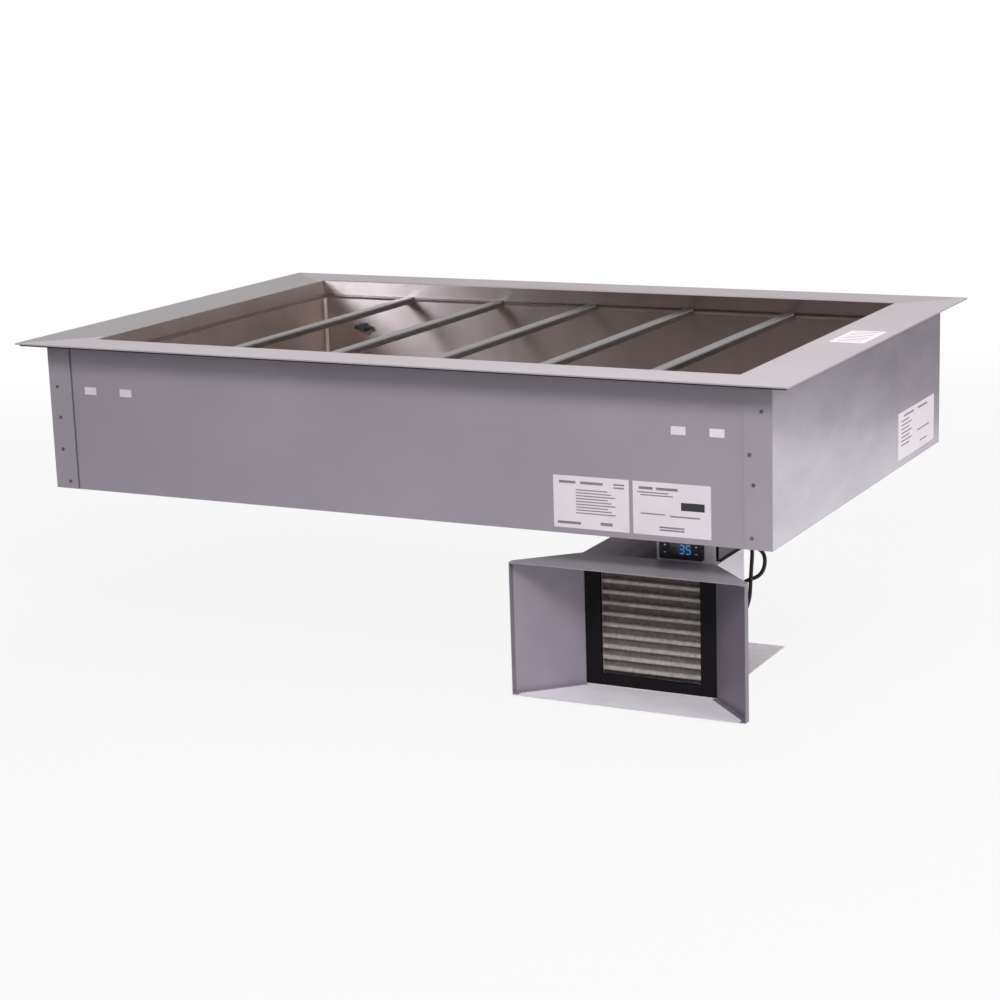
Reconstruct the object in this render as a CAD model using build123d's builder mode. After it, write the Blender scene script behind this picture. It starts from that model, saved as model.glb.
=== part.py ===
"""Drop-in refrigerated cold well, with its condensing unit hung below the right-hand end.

Millimetres. The origin is the centre of the counter seat: Z = 0 is the counter top that the flange
seal lies on, the front faces -Y, +X is to the right as seen from the front, and +Z is up.
"""
import os
from math import cos, pi, radians, sin, tan

from build123d import *

# Flange and opening
FLANGE_WIDTH = 1300.0
FLANGE_DEPTH = 858.0
FLANGE_CORNER = 3.0
SIDE_LEG = 99.0
FRONT_LEG = 76.0
RIM_SHEET = 2.0
RIM_BEND = 2.5
LEDGE_DROP = 27.0
LEDGE_WIDTH = 5.0
SEAL_THICKNESS = 3.0
SEAL_WIDTH = 24.0
SEAL_SETBACK = 6.0

# Basin
BREAKER_THICKNESS = 4.0
BREAKER_SETBACK = 1.0
LINER_SHEET = 1.2
LINER_CORNER = 8.0
FLOOR_COVE = 3.0
FLOOR_INSULATION = 38.0

# Pan bars
BAR_COUNT = 5
BAR_WIDTH = 20.0
BAR_HEIGHT = 10.0
BAR_SHEET = 1.5
BAR_BEND = 2.5
BAR_END_GAP = 1.0
BAR_LEG_GAP = 2.0

# Outer case
CASE_OVERHANG = 36.0
CASE_HEIGHT = 239.0
CASE_SHEET = 1.2
CORNER_STRIP = 42.0
PANEL_RETURN = 15.0
RETURN_CORNER_GAP = 8.0
RIVET_SHANK = 1.6
RIVET_HEAD = 2.7
RIVET_HEAD_HEIGHT = 1.1
RIVET_CLEARANCE = 0.05
# Hand-drilled rivets: inset from the corner and drop from the flange, as shares of the corner strip
LEFT_RIVET_SHARES = ((0.36, 0.30), (0.41, 0.51), (0.41, 0.73), (0.66, 0.95))
RIGHT_RIVET_SHARES = ((0.38, 0.17), (0.80, 0.43), (0.67, 0.61), (0.74, 0.93))

# Drain
DRAIN_X = -200.0
DRAIN_FLANGE_RADIUS = 36.0
DRAIN_FLANGE_THICKNESS = 2.0
DRAIN_PIPE_RADIUS = 16.7
DRAIN_BORE_RADIUS = 13.0
DRAIN_REACH = 48.0
DRAIN_SPIGOT_RADIUS = 16.0
DRAIN_SPIGOT_LENGTH = 36.0
DRAIN_CLEARANCE = 0.4
LOCKNUT_RADIUS = 27.0
LOCKNUT_THICKNESS = 9.0
STRAINER_RADIUS = 31.0
STRAINER_SHEET = 1.5
STRAINER_COLLAR = 8.0
STRAINER_CLEARANCE = 0.5
STRAINER_HOLE = 1.8
STRAINER_HOLES = 6
STRAINER_HOLE_CIRCLE = 7.0

# Evaporator coil and the chase that its lines leave through
COIL_TUBE = 4.76
COIL_TURNS = 5
COIL_TOP_DROP = 62.0
COIL_FLOOR_RISE = 16.6
TAIL_BEND = 12.0
TAIL_STRAIGHT = 2.0
COIL_GAP = 0.2
COIL_ROOM = 3.0
COIL_LEAD_OFFSET = 32.0
CHASE_REACH = 42.0
CHASE_MARGIN = 14.0

# Sensor on the back wall of the basin
SENSOR_INSET = 83.0
SENSOR_DROP = 84.0
SENSOR_RADIUS = 4.0
SENSOR_LENGTH = 34.0
SENSOR_STANDOFF = 6.0
CLIP_WIDTH = 10.0
CLIP_HEIGHT = 16.0
SLIP_FIT = 0.05

# Blank labels and the covers over the foam ports
LABEL_SHEET = 0.3
FRONT_LABEL_INSETS = (276.5, 151.5)
FRONT_LABEL_SIZE = (119.0, 77.0)
FRONT_LABEL_RISE = 47.0
SIDE_LABEL_INSET = 127.0
SIDE_LABEL_SIZE = (190.0, 76.0)
SIDE_LABEL_RISE = 50.0
FLANGE_LABEL_Y = -3.0
FLANGE_LABEL_SIZE = (54.0, 108.0)
FLANGE_LABEL_INSET = 45.0
LEFT_COVER_INSETS = (79.0, 147.0)
RIGHT_COVER_INSETS = (140.0, 82.0)
COVER_SIZE = (22.0, 12.0)
COVER_SHEET = 0.6
COVER_DROP = 75.0

# Condensing unit: air mouth, shroud, housing and tray
UNIT_INSET = 227.0
UNIT_DROP = 53.0
UNIT_HEIGHT = 204.0
UNIT_SHEET = 1.2
MOUTH_WIDTH = 370.0
MOUTH_COLLAR = 12.0
SHROUD_DEPTH = 90.0
SHROUD_FLANGE = 9.0
THROAT_WIDTH = 213.0
HOUSING_DEPTH = 108.0
TRAY_DEPTH = 283.0
TRAY_SHEET = 2.0
TRAY_LIP = 12.0

# Condenser coil
FRAME_THICKNESS = 6.0
FIN_WIDTH = 160.0
FIN_DEPTH = 36.0
FIN_ROWS = 10
FIN_ROW_PITCH = 16.9
FIN_BASE_RISE = 16.0
FIN_RIDGE = 2.5
TUBE_RADIUS = 3.5
TUBE_COLUMN_PITCH = 16.0
TUBE_OVERHANG = 6.0
TUBE_LEAD_TURN = 8.0
TUBE_LEAD_RISE = 17.0
TUBE_LEAD_REACH = 30.0
TUBE_BEND = 7.9
NOTCH_MARGIN = 3.0
END_PLATE = 1.2

# Fan
FAN_RADIUS = 82.0
FAN_TIP_GAP = 4.0
FAN_RING_DEPTH = 18.0
FAN_HUB_RADIUS = 15.0
FAN_HUB_LENGTH = 16.0
FAN_HUB_SETBACK = 8.0
FAN_BLADES = 5
FAN_BLADE_SHEET = 1.5
FAN_BLADE_ROOT = 24.0
FAN_BLADE_TIP = 44.0
FAN_PITCH_ANGLE = 28.0
SHAFT_RADIUS = 3.0
SHAFT_GRIP = 22.0
SHAFT_CLEARANCE = 0.05
SHAFT_END_GAP = 1.0
MOTOR_RADIUS = 30.0
MOTOR_LENGTH = 37.0
MOTOR_SETBACK = 10.0
MOTOR_ROUND = 4.0
MOTOR_BOSS_RADIUS = 9.0
MOTOR_BOSS_LENGTH = 5.0
LEAD_BOSS = 12.0
LEAD_BOSS_REACH = 7.0
PEDESTAL_WIDTH = 50.0
PEDESTAL_SHEET = 2.0
PEDESTAL_FOOT = 24.0

# Compressor
COMPRESSOR_SHIFT = -35.0
COMPRESSOR_SETBACK = 103.0
COMPRESSOR_RADIUS = 66.0
COMPRESSOR_HEIGHT = 160.0
COMPRESSOR_DOME = 34.0
COMPRESSOR_BASE_ROUND = 12.0
COMPRESSOR_SEAM_RISE = 78.0
COMPRESSOR_SEAM_HEIGHT = 7.0
COMPRESSOR_SEAM_REACH = 2.5
COMPRESSOR_PLATE = 3.0
COMPRESSOR_PLATE_MARGIN = 10.0
FOOT_SPACING = (110.0, 92.0)
GROMMET_RADIUS = 10.0
GROMMET_HEIGHT = 18.0
BOLT_RADIUS = 3.0
BOLT_CLEARANCE = 0.3
BOLT_HEAD_RADIUS = 5.5
BOLT_HEAD_HEIGHT = 4.0
STUB_RADIUS = 5.5
STUB_TOP_RISE = 14.0
DISCHARGE_STUB = (-26.0, -28.0)
SUCTION_STUB = (28.0, 30.0)
TERMINAL_SIZE = (24.0, 52.0, 58.0)
TERMINAL_RISE = 38.0
TERMINAL_ROUND = 5.0
COVER_GAP = 0.2

# Refrigerant lines and drier
SUCTION_TUBE = 4.76
DISCHARGE_TUBE = 3.5
CAPILLARY_TUBE = 1.4
LINE_HOLE_MARGIN = 1.0
SUCTION_LEVEL_DROP = 7.0
CAPILLARY_LEVEL_DROP = 14.0
CAPILLARY_SHIFT = 59.0
CAPILLARY_OFFSET = 18.0
CAPILLARY_LEAD = 14.0
CAPILLARY_LIFT = 38.0
CAPILLARY_STANDOFF = 22.0
CAPILLARY_BEND = 5.0
DISCHARGE_LIFT = 24.0
DISCHARGE_RUN = 40.0
DISCHARGE_APPROACH = 8.0
DISCHARGE_BEND = 9.0
DRIER_RADIUS = 9.0
DRIER_LENGTH = 78.0
DRIER_NECK = 12.0

# Hangers
HANGER_SHIFTS = (-65.0, 1.0)
HANGER_WIDTH = 30.0
HANGER_SHEET = 2.0
HANGER_FOOT = 24.0

# Controller, its bracket and the electrical box behind it
CONTROL_SHIFT = 53.5
CONTROL_RISE = 20.0
BEZEL_SIZE = (68.0, 31.0)
BEZEL_THICKNESS = 6.0
BEZEL_CORNER = 2.0
BODY_SIZE = (62.0, 25.0)
BODY_DEPTH = 46.0
BODY_CLEARANCE = 0.5
LENS_SIZE = (32.0, 19.0)
LENS_THICKNESS = 1.5
LENS_RECESS = 1.2
KEY_SIZE = (6.0, 5.0)
KEY_LENGTH = 5.0
KEY_PROUD = 1.2
KEY_TRAVEL = 0.8
KEY_CLEARANCE = 0.3
KEY_COLUMN = 24.5
KEY_ROW = 5.5
BRACKET_SHIFTS = (13.0, 105.0)
BRACKET_FLANGE = 14.0
BOX_SETBACK = 18.0
BOX_DEPTH = 76.0
BOX_SIDE_INSET = 2.0
BOX_FLOOR_GAP = 3.0

# Cables and glands
GLAND_SHIFTS = (38.0, 75.0, 94.0)
GLAND_RISE = 24.0
GLAND_RADIUS = 7.5
GLAND_SPIGOT = 5.0
GLAND_REACH = 10.0
CABLE_RADIUS = 3.0
BEND_SHARE = 0.45
COMPRESSOR_CABLE_FIRST = ((0, 36, 0), (9, 51, -30.2), (10, 39, -73.2))
COMPRESSOR_CABLE_LAST = ((60, -46, 44.8), (36, -52, 10.8), (0, -40, 0))
FAN_CABLE_FIRST = ((0, 53, 0), (12, 61, -34.2), (45, 61, -42.2), (43, 55, -78.2), (14, 45, -88.2))
FAN_CABLE_LAST = ((40, 35.3, 23.4), (39, 0, 0))

# Places worked out from the sizes above
flange_under = SEAL_THICKNESS
flange_top = flange_under + RIM_SHEET
opening_width = FLANGE_WIDTH - 2 * SIDE_LEG
opening_depth = FLANGE_DEPTH - 2 * FRONT_LEG
skirt_width = opening_width + 2 * RIM_SHEET
skirt_depth = opening_depth + 2 * RIM_SHEET
ledge_top = flange_top - LEDGE_DROP
ledge_under = ledge_top - RIM_SHEET
breaker_under = ledge_under - BREAKER_THICKNESS
basin_width = opening_width - 2 * LEDGE_WIDTH
basin_depth = opening_depth - 2 * LEDGE_WIDTH
liner_width = basin_width + 2 * LINER_SHEET
liner_depth = basin_depth + 2 * LINER_SHEET
case_width = FLANGE_WIDTH - 2 * CASE_OVERHANG
case_depth = FLANGE_DEPTH - 2 * CASE_OVERHANG
case_bottom = flange_top - CASE_HEIGHT
foam_width = case_width - 2 * CASE_SHEET
foam_depth = case_depth - 4 * CASE_SHEET
front_face = -case_depth / 2 + CASE_SHEET
hang_level = case_bottom + CASE_SHEET
foam_under = hang_level + CASE_SHEET
foam_top = flange_under - CASE_SHEET
floor_under = foam_under + FLOOR_INSULATION
floor_top = floor_under + LINER_SHEET
bar_top = ledge_top + BAR_SHEET
bar_pitch = opening_width / (BAR_COUNT + 1)
coil_half_width = liner_width / 2 + COIL_GAP + COIL_TUBE
coil_half_depth = liner_depth / 2 + COIL_GAP + COIL_TUBE
coil_bend = LINER_CORNER + LINER_SHEET + COIL_GAP + COIL_TUBE
coil_top = flange_top - COIL_TOP_DROP
coil_bottom = floor_under + COIL_FLOOR_RISE
coil_pitch = (coil_top - coil_bottom) / COIL_TURNS
suction_level = floor_under - SUCTION_LEVEL_DROP - SUCTION_TUBE
capillary_level = floor_under - CAPILLARY_LEVEL_DROP - CAPILLARY_TUBE
unit_x = case_width / 2 - UNIT_INSET
unit_top = hang_level - UNIT_DROP
unit_bottom = unit_top - UNIT_HEIGHT
tray_top = unit_bottom + TRAY_SHEET
housing_under = unit_top - UNIT_SHEET
mouth_y = -case_depth / 2
throat_y = mouth_y + SHROUD_DEPTH
housing_back = throat_y + HOUSING_DEPTH
tray_back = throat_y + TRAY_DEPTH
compressor_x = unit_x + COMPRESSOR_SHIFT
compressor_y = housing_back + COMPRESSOR_SETBACK
suction_x = compressor_x + SUCTION_STUB[0]
suction_y = compressor_y + SUCTION_STUB[1]
coil_start_y = suction_y + COIL_LEAD_OFFSET
capillary_hole = (unit_x + CAPILLARY_SHIFT, suction_y + CAPILLARY_OFFSET)
throat_right = unit_x + THROAT_WIDTH / 2
inner_width = THROAT_WIDTH - 2 * UNIT_SHEET
coil_front = throat_y + FRAME_THICKNESS
coil_back = coil_front + FIN_DEPTH
fin_bottom = tray_top + FIN_BASE_RISE
fin_height = FIN_ROWS * FIN_ROW_PITCH
fan_plate_back = coil_back + UNIT_SHEET
fan_z = (housing_under + tray_top) / 2
hub_front = fan_plate_back + FAN_HUB_SETBACK
hub_back = hub_front + FAN_HUB_LENGTH
motor_front = hub_back + MOTOR_SETBACK
motor_back = motor_front + MOTOR_LENGTH
plate_under = tray_top + GROMMET_HEIGHT
shell_bottom = plate_under + COMPRESSOR_PLATE
shell_top = shell_bottom + COMPRESSOR_HEIGHT
stub_top = shell_top + STUB_TOP_RISE
control_x = unit_x + CONTROL_SHIFT
control_z = unit_top + CONTROL_RISE
bracket_x = [unit_x + shift for shift in BRACKET_SHIFTS]
bezel_front = throat_y - BEZEL_THICKNESS
bracket_back = throat_y + UNIT_SHEET
box_front = throat_y + BOX_SETBACK
box_back = box_front + BOX_DEPTH
gland_x = [unit_x + shift for shift in GLAND_SHIFTS]
gland_z = unit_top + GLAND_RISE
lead_x = unit_x - FIN_WIDTH / 2 - END_PLATE - TUBE_OVERHANG - TUBE_LEAD_TURN
lead_end = fan_plate_back + TUBE_LEAD_REACH
row_top = fin_bottom + fin_height - FIN_ROW_PITCH / 2
column_front = coil_front + (FIN_DEPTH - TUBE_COLUMN_PITCH) / 2
column_back = column_front + TUBE_COLUMN_PITCH
discharge_level = row_top + TUBE_LEAD_RISE

rivet_places = [
    (side * (case_width / 2 - inset * CORNER_STRIP), flange_under - drop * (flange_under - case_bottom))
    for side, strip in ((-1, LEFT_RIVET_SHARES), (1, RIGHT_RIVET_SHARES))
    for inset, drop in strip
]
foot_places = [
    (compressor_x + across * FOOT_SPACING[0] / 2, compressor_y + along * FOOT_SPACING[1] / 2)
    for across in (-1, 1)
    for along in (-1, 1)
]
hanger_middles = [unit_x + shift for shift in HANGER_SHIFTS]
hanger_bolt_places = [(x, tray_back - HANGER_FOOT / 2) for x in hanger_middles]
bracket_bolt_places = [
    (x, bracket_back + BRACKET_FLANGE / 2)
    for x in (control_x - BODY_SIZE[0] / 4, control_x + BODY_SIZE[0] / 4)
]


def save(piece, name):
    """Name a finished piece and write it."""
    piece.part.label = name
    export_step(piece.part, f"parts/{name}.step")


def block(x, y, z, mode=Mode.ADD):
    """A box between two limits on each axis, in the part being built."""
    with Locations(((x[0] + x[1]) / 2, (y[0] + y[1]) / 2, (z[0] + z[1]) / 2)):
        Box(x[1] - x[0], y[1] - y[0], z[1] - z[0], mode=mode)


def rod(place, radius, height, mode=Mode.ADD):
    """An upright cylinder whose foot is at place, in the part being built."""
    with Locations(place):
        Cylinder(radius, height, align=(Align.CENTER, Align.CENTER, Align.MIN), mode=mode)


def bent_tube(points, tube_radius, bends):
    """A round tube along straight runs joined by tangent arcs."""
    with BuildPart() as tube:
        with BuildLine() as route:
            FilletPolyline(*points, radius=bends)
        with BuildSketch(Plane(origin=route.line @ 0, z_dir=route.line % 0)):
            Circle(tube_radius)
        sweep()
    return tube


def easy_bends(points):
    """The largest radius at each turn that a fixed share of the shorter of its two runs allows."""
    bends = []
    for before, here, after in zip(points, points[1:], points[2:]):
        arriving = here - before
        leaving = after - here
        turn = radians(arriving.get_angle(leaving))
        bends.append(BEND_SHARE * min(arriving.length, leaving.length) / tan(turn / 2))
    return bends


os.makedirs("parts", exist_ok=True)

# Flange: top sheet, skirt round the opening and the ledge that the pan bars lie on
with BuildPart() as flange_rim:
    with BuildSketch(Plane.XY.offset(flange_under)):
        RectangleRounded(FLANGE_WIDTH, FLANGE_DEPTH, FLANGE_CORNER)
        Rectangle(opening_width, opening_depth, mode=Mode.SUBTRACT)
    extrude(amount=RIM_SHEET)
    with BuildSketch(Plane.XY.offset(ledge_under)):
        Rectangle(skirt_width, skirt_depth)
        Rectangle(opening_width, opening_depth, mode=Mode.SUBTRACT)
    extrude(amount=flange_under - ledge_under)
    opening_edge = flange_rim.faces().sort_by(Axis.Z)[-1].inner_wires()[0].edges()
    fillet(opening_edge, RIM_BEND)
    with BuildSketch(Plane.XY.offset(ledge_under)):
        Rectangle(skirt_width, skirt_depth)
        Rectangle(basin_width, basin_depth, mode=Mode.SUBTRACT)
    extrude(amount=RIM_SHEET)
save(flange_rim, "flange_rim")

# Seal tape between the flange and the counter
with BuildPart() as flange_seal:
    with BuildSketch(Plane.XY):
        Rectangle(FLANGE_WIDTH - 2 * SEAL_SETBACK, FLANGE_DEPTH - 2 * SEAL_SETBACK)
        Rectangle(
            FLANGE_WIDTH - 2 * (SEAL_SETBACK + SEAL_WIDTH),
            FLANGE_DEPTH - 2 * (SEAL_SETBACK + SEAL_WIDTH),
            mode=Mode.SUBTRACT,
        )
    extrude(amount=SEAL_THICKNESS)
save(flange_seal, "flange_seal")

# Thermal breaker between the ledge and the cold liner
with BuildPart() as thermal_breaker:
    with BuildSketch(Plane.XY.offset(breaker_under)):
        Rectangle(skirt_width, skirt_depth)
        Rectangle(
            basin_width + 2 * BREAKER_SETBACK,
            basin_depth + 2 * BREAKER_SETBACK,
            mode=Mode.SUBTRACT,
        )
    extrude(amount=BREAKER_THICKNESS)
save(thermal_breaker, "thermal_breaker")

# Liner: the basin with its top flange, coved floor and drain hole
with BuildPart() as well_liner:
    with BuildSketch(Plane.XY.offset(floor_under)):
        RectangleRounded(liner_width, liner_depth, LINER_CORNER + LINER_SHEET)
    extrude(amount=breaker_under - floor_under)
    fillet(well_liner.edges().group_by(Axis.Z)[0], FLOOR_COVE + LINER_SHEET)
    offset(amount=-LINER_SHEET, openings=well_liner.faces().sort_by(Axis.Z)[-1])
    with BuildSketch(Plane.XY.offset(breaker_under)):
        Rectangle(skirt_width, skirt_depth)
        RectangleRounded(basin_width, basin_depth, LINER_CORNER, mode=Mode.SUBTRACT)
    extrude(amount=-LINER_SHEET)
    rod((DRAIN_X, 0, floor_under), DRAIN_PIPE_RADIUS + DRAIN_CLEARANCE, LINER_SHEET, Mode.SUBTRACT)
save(well_liner, "well_liner")


def divider_bar(x):
    """An inverted channel whose web lies on the front and back ledges."""
    with BuildPart() as bar:
        with BuildSketch(Plane((x, 0, bar_top), x_dir=(1, 0, 0), z_dir=(0, -1, 0))) as profile:
            Rectangle(BAR_WIDTH, BAR_HEIGHT, align=(Align.CENTER, Align.MAX))
            fillet(profile.vertices().group_by(Axis.Y)[-1], BAR_BEND)
            with Locations((0, -BAR_SHEET)):
                Rectangle(
                    BAR_WIDTH - 2 * BAR_SHEET,
                    BAR_HEIGHT - BAR_SHEET,
                    align=(Align.CENTER, Align.MAX),
                    mode=Mode.SUBTRACT,
                )
        extrude(amount=basin_depth / 2 - BAR_LEG_GAP, both=True)
        with BuildSketch(Plane((x, 0, bar_top))):
            Rectangle(BAR_WIDTH - 2 * BAR_BEND, opening_depth - 2 * BAR_END_GAP)
        extrude(amount=-BAR_SHEET)
    return bar


# Pan bars, evenly spaced along the opening
for number in range(BAR_COUNT):
    save(divider_bar((number - (BAR_COUNT - 1) / 2) * bar_pitch), f"divider_bar_{number + 1}")

# Drain: flanged outlet through the floor, its locknut under the case and the lift-out strainer
drain_bottom = case_bottom - DRAIN_REACH
spigot_top = drain_bottom + DRAIN_SPIGOT_LENGTH
with BuildPart() as drain_fitting:
    rod((DRAIN_X, 0, floor_top), DRAIN_FLANGE_RADIUS, DRAIN_FLANGE_THICKNESS)
    rod((DRAIN_X, 0, spigot_top), DRAIN_PIPE_RADIUS, floor_top - spigot_top)
    rod((DRAIN_X, 0, drain_bottom), DRAIN_SPIGOT_RADIUS, DRAIN_SPIGOT_LENGTH)
    rod(
        (DRAIN_X, 0, drain_bottom),
        DRAIN_BORE_RADIUS,
        floor_top + DRAIN_FLANGE_THICKNESS - drain_bottom,
        Mode.SUBTRACT,
    )
save(drain_fitting, "drain_fitting")

with BuildPart() as drain_locknut:
    with BuildSketch(Plane((DRAIN_X, 0, hang_level))):
        RegularPolygon(LOCKNUT_RADIUS, 6)
        Circle(DRAIN_PIPE_RADIUS + SLIP_FIT, mode=Mode.SUBTRACT)
    extrude(amount=-LOCKNUT_THICKNESS)
save(drain_locknut, "drain_locknut")

strainer_under = floor_top + DRAIN_FLANGE_THICKNESS
with BuildPart() as drain_strainer:
    rod((DRAIN_X, 0, strainer_under), STRAINER_RADIUS, STRAINER_SHEET)
    with BuildSketch(Plane((DRAIN_X, 0, strainer_under))):
        Circle(DRAIN_BORE_RADIUS - STRAINER_CLEARANCE)
        Circle(DRAIN_BORE_RADIUS - STRAINER_CLEARANCE - STRAINER_SHEET, mode=Mode.SUBTRACT)
    extrude(amount=-STRAINER_COLLAR)
    with BuildSketch(Plane((DRAIN_X, 0, strainer_under))):
        Circle(STRAINER_HOLE)
        with PolarLocations(STRAINER_HOLE_CIRCLE, STRAINER_HOLES):
            Circle(STRAINER_HOLE)
    extrude(amount=STRAINER_SHEET, mode=Mode.SUBTRACT)
save(drain_strainer, "drain_strainer")

# Foam block that fills the space between the liner and the case
recess_width = 2 * (coil_half_width + COIL_TUBE + COIL_ROOM)
recess_depth = 2 * (coil_half_depth + COIL_TUBE + COIL_ROOM)
recess_top = coil_top + COIL_TUBE + COIL_ROOM
recess_bottom = coil_bottom - COIL_TUBE - COIL_ROOM
chase_y = (suction_y - CHASE_MARGIN, coil_start_y + CHASE_MARGIN)
chase_right = liner_width / 2 + CHASE_REACH
with BuildPart() as foam_insulation:
    with BuildSketch(Plane.XY.offset(foam_under)):
        Rectangle(foam_width, foam_depth)
    extrude(amount=foam_top - foam_under)
    with BuildSketch(Plane.XY.offset(breaker_under - LINER_SHEET)):
        Rectangle(skirt_width, skirt_depth)
    extrude(amount=foam_top - breaker_under + LINER_SHEET, mode=Mode.SUBTRACT)
    with BuildSketch(Plane.XY.offset(floor_under)):
        Rectangle(liner_width, liner_depth)
    extrude(amount=breaker_under - LINER_SHEET - floor_under, mode=Mode.SUBTRACT)
    with BuildSketch(Plane.XY.offset(recess_bottom)):
        Rectangle(recess_width, recess_depth)
    extrude(amount=recess_top - recess_bottom, mode=Mode.SUBTRACT)
    block((liner_width / 2, chase_right), chase_y, (foam_under, recess_top), Mode.SUBTRACT)
    block((suction_x - CHASE_MARGIN, chase_right), chase_y, (foam_under, floor_under), Mode.SUBTRACT)
    rod((DRAIN_X, 0, foam_under), DRAIN_PIPE_RADIUS + DRAIN_CLEARANCE, FLOOR_INSULATION, Mode.SUBTRACT)
save(foam_insulation, "foam_insulation")

# Evaporator: one tube wound round the liner, its tail turned down into the chase
coil_corners = [
    (across * coil_half_width, along * coil_half_depth)
    for across, along in ((1, 1), (-1, 1), (-1, -1), (1, -1))
]
coil_points = [(coil_half_width, coil_start_y, coil_top)]
for step in range(4 * COIL_TURNS):
    corner_x, corner_y = coil_corners[step % 4]
    coil_points.append((corner_x, corner_y, coil_top - step * coil_pitch / 4))
coil_tail = suction_level + TAIL_BEND + TAIL_STRAIGHT
coil_points.append((coil_half_width, suction_y, coil_bottom))
coil_points.append((coil_half_width, suction_y, coil_tail))
coil_bends = [coil_bend] * (len(coil_points) - 3) + [TAIL_BEND]
evaporator_coil = bent_tube(coil_points, COIL_TUBE, coil_bends)
save(evaporator_coil, "evaporator_coil")

# Temperature sensor clipped to the back wall
sensor_x = -basin_width / 2 + SENSOR_INSET
sensor_y = basin_depth / 2 - SENSOR_STANDOFF
sensor_z = flange_top - SENSOR_DROP
with BuildPart() as sensor_probe:
    with BuildSketch(Plane((sensor_x - SENSOR_LENGTH / 2, sensor_y, sensor_z), z_dir=(1, 0, 0))):
        Circle(SENSOR_RADIUS)
    extrude(amount=SENSOR_LENGTH)
    fillet(sensor_probe.edges().filter_by(GeomType.CIRCLE), SENSOR_RADIUS / 2)
save(sensor_probe, "sensor_probe")

with BuildPart() as sensor_clip:
    block(
        (sensor_x - CLIP_WIDTH / 2, sensor_x + CLIP_WIDTH / 2),
        (sensor_y - SENSOR_STANDOFF, basin_depth / 2),
        (sensor_z - CLIP_HEIGHT / 2, sensor_z + CLIP_HEIGHT / 2),
    )
    fillet(sensor_clip.edges().filter_by(Axis.X).group_by(Axis.Y)[0], SENSOR_STANDOFF / 2)
    with BuildSketch(Plane((sensor_x - CLIP_WIDTH / 2, sensor_y, sensor_z), z_dir=(1, 0, 0))):
        Circle(SENSOR_RADIUS + SLIP_FIT)
    extrude(amount=CLIP_WIDTH, mode=Mode.SUBTRACT)
save(sensor_clip, "sensor_clip")


def rivet_holes(side):
    """Rivet holes through both sheets of the front or the back, in the part being built."""
    for x, z in rivet_places:
        with Locations(Location((x, side * case_depth / 2, z), (90, 0, 0))):
            Cylinder(RIVET_SHANK + RIVET_CLEARANCE, 6 * CASE_SHEET, mode=Mode.SUBTRACT)


def long_panel(side):
    """The front (side -1) or back (side 1) panel, with a return at its top and bottom."""
    near = side * (case_depth / 2 - CASE_SHEET)
    far = side * foam_depth / 2
    sheet = sorted((near, far))
    returns = sorted((far, far - side * PANEL_RETURN))
    reach = foam_width / 2 - PANEL_RETURN - RETURN_CORNER_GAP
    with BuildPart() as panel:
        block((-foam_width / 2, foam_width / 2), sheet, (case_bottom, flange_under))
        block((-reach, reach), returns, (foam_top, flange_under))
        block((-reach, reach), returns, (case_bottom, hang_level))
        rivet_holes(side)
    return panel


def end_panel(side):
    """The left (side -1) or right (side 1) panel, which wraps round the front and back corners."""
    web = sorted((side * foam_width / 2, side * case_width / 2))
    strip = sorted((side * (case_width / 2 - CORNER_STRIP), side * case_width / 2))
    returns = sorted((side * foam_width / 2, side * (foam_width / 2 - PANEL_RETURN)))
    height = (case_bottom, flange_under)
    reach = foam_depth / 2 - PANEL_RETURN - RETURN_CORNER_GAP
    with BuildPart() as panel:
        block(web, (-case_depth / 2, case_depth / 2), height)
        block(strip, (-case_depth / 2, front_face), height)
        block(strip, (-front_face, case_depth / 2), height)
        block(returns, (-reach, reach), (foam_top, flange_under))
        block(returns, (-reach, reach), (case_bottom, hang_level))
        rivet_holes(-1)
        rivet_holes(1)
    return panel


# Outer case
save(long_panel(-1), "case_front_panel")
save(long_panel(1), "case_back_panel")
save(end_panel(-1), "case_left_panel")
save(end_panel(1), "case_right_panel")

with BuildPart() as case_bottom_panel:
    block(
        (-foam_width / 2, foam_width / 2),
        (-foam_depth / 2, foam_depth / 2),
        (hang_level, foam_under),
    )
    rod((DRAIN_X, 0, hang_level), DRAIN_PIPE_RADIUS + DRAIN_CLEARANCE, CASE_SHEET, Mode.SUBTRACT)
    rod((suction_x, suction_y, hang_level), SUCTION_TUBE + LINE_HOLE_MARGIN, CASE_SHEET, Mode.SUBTRACT)
    rod((*capillary_hole, hang_level), CAPILLARY_TUBE + LINE_HOLE_MARGIN, CASE_SHEET, Mode.SUBTRACT)
    for x, y in hanger_bolt_places + bracket_bolt_places:
        rod((x, y, hang_level), BOLT_RADIUS + BOLT_CLEARANCE, CASE_SHEET, Mode.SUBTRACT)
save(case_bottom_panel, "case_bottom_panel")

with BuildPart() as case_rivets:
    for side in (-1, 1):
        for x, z in rivet_places:
            outward = Plane((x, side * case_depth / 2, z), z_dir=(0, side, 0))
            with BuildSketch(outward):
                Circle(RIVET_HEAD)
            extrude(amount=RIVET_HEAD_HEIGHT)
            with BuildSketch(outward):
                Circle(RIVET_SHANK)
            extrude(amount=-2 * CASE_SHEET)
save(case_rivets, "case_rivets")

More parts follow.
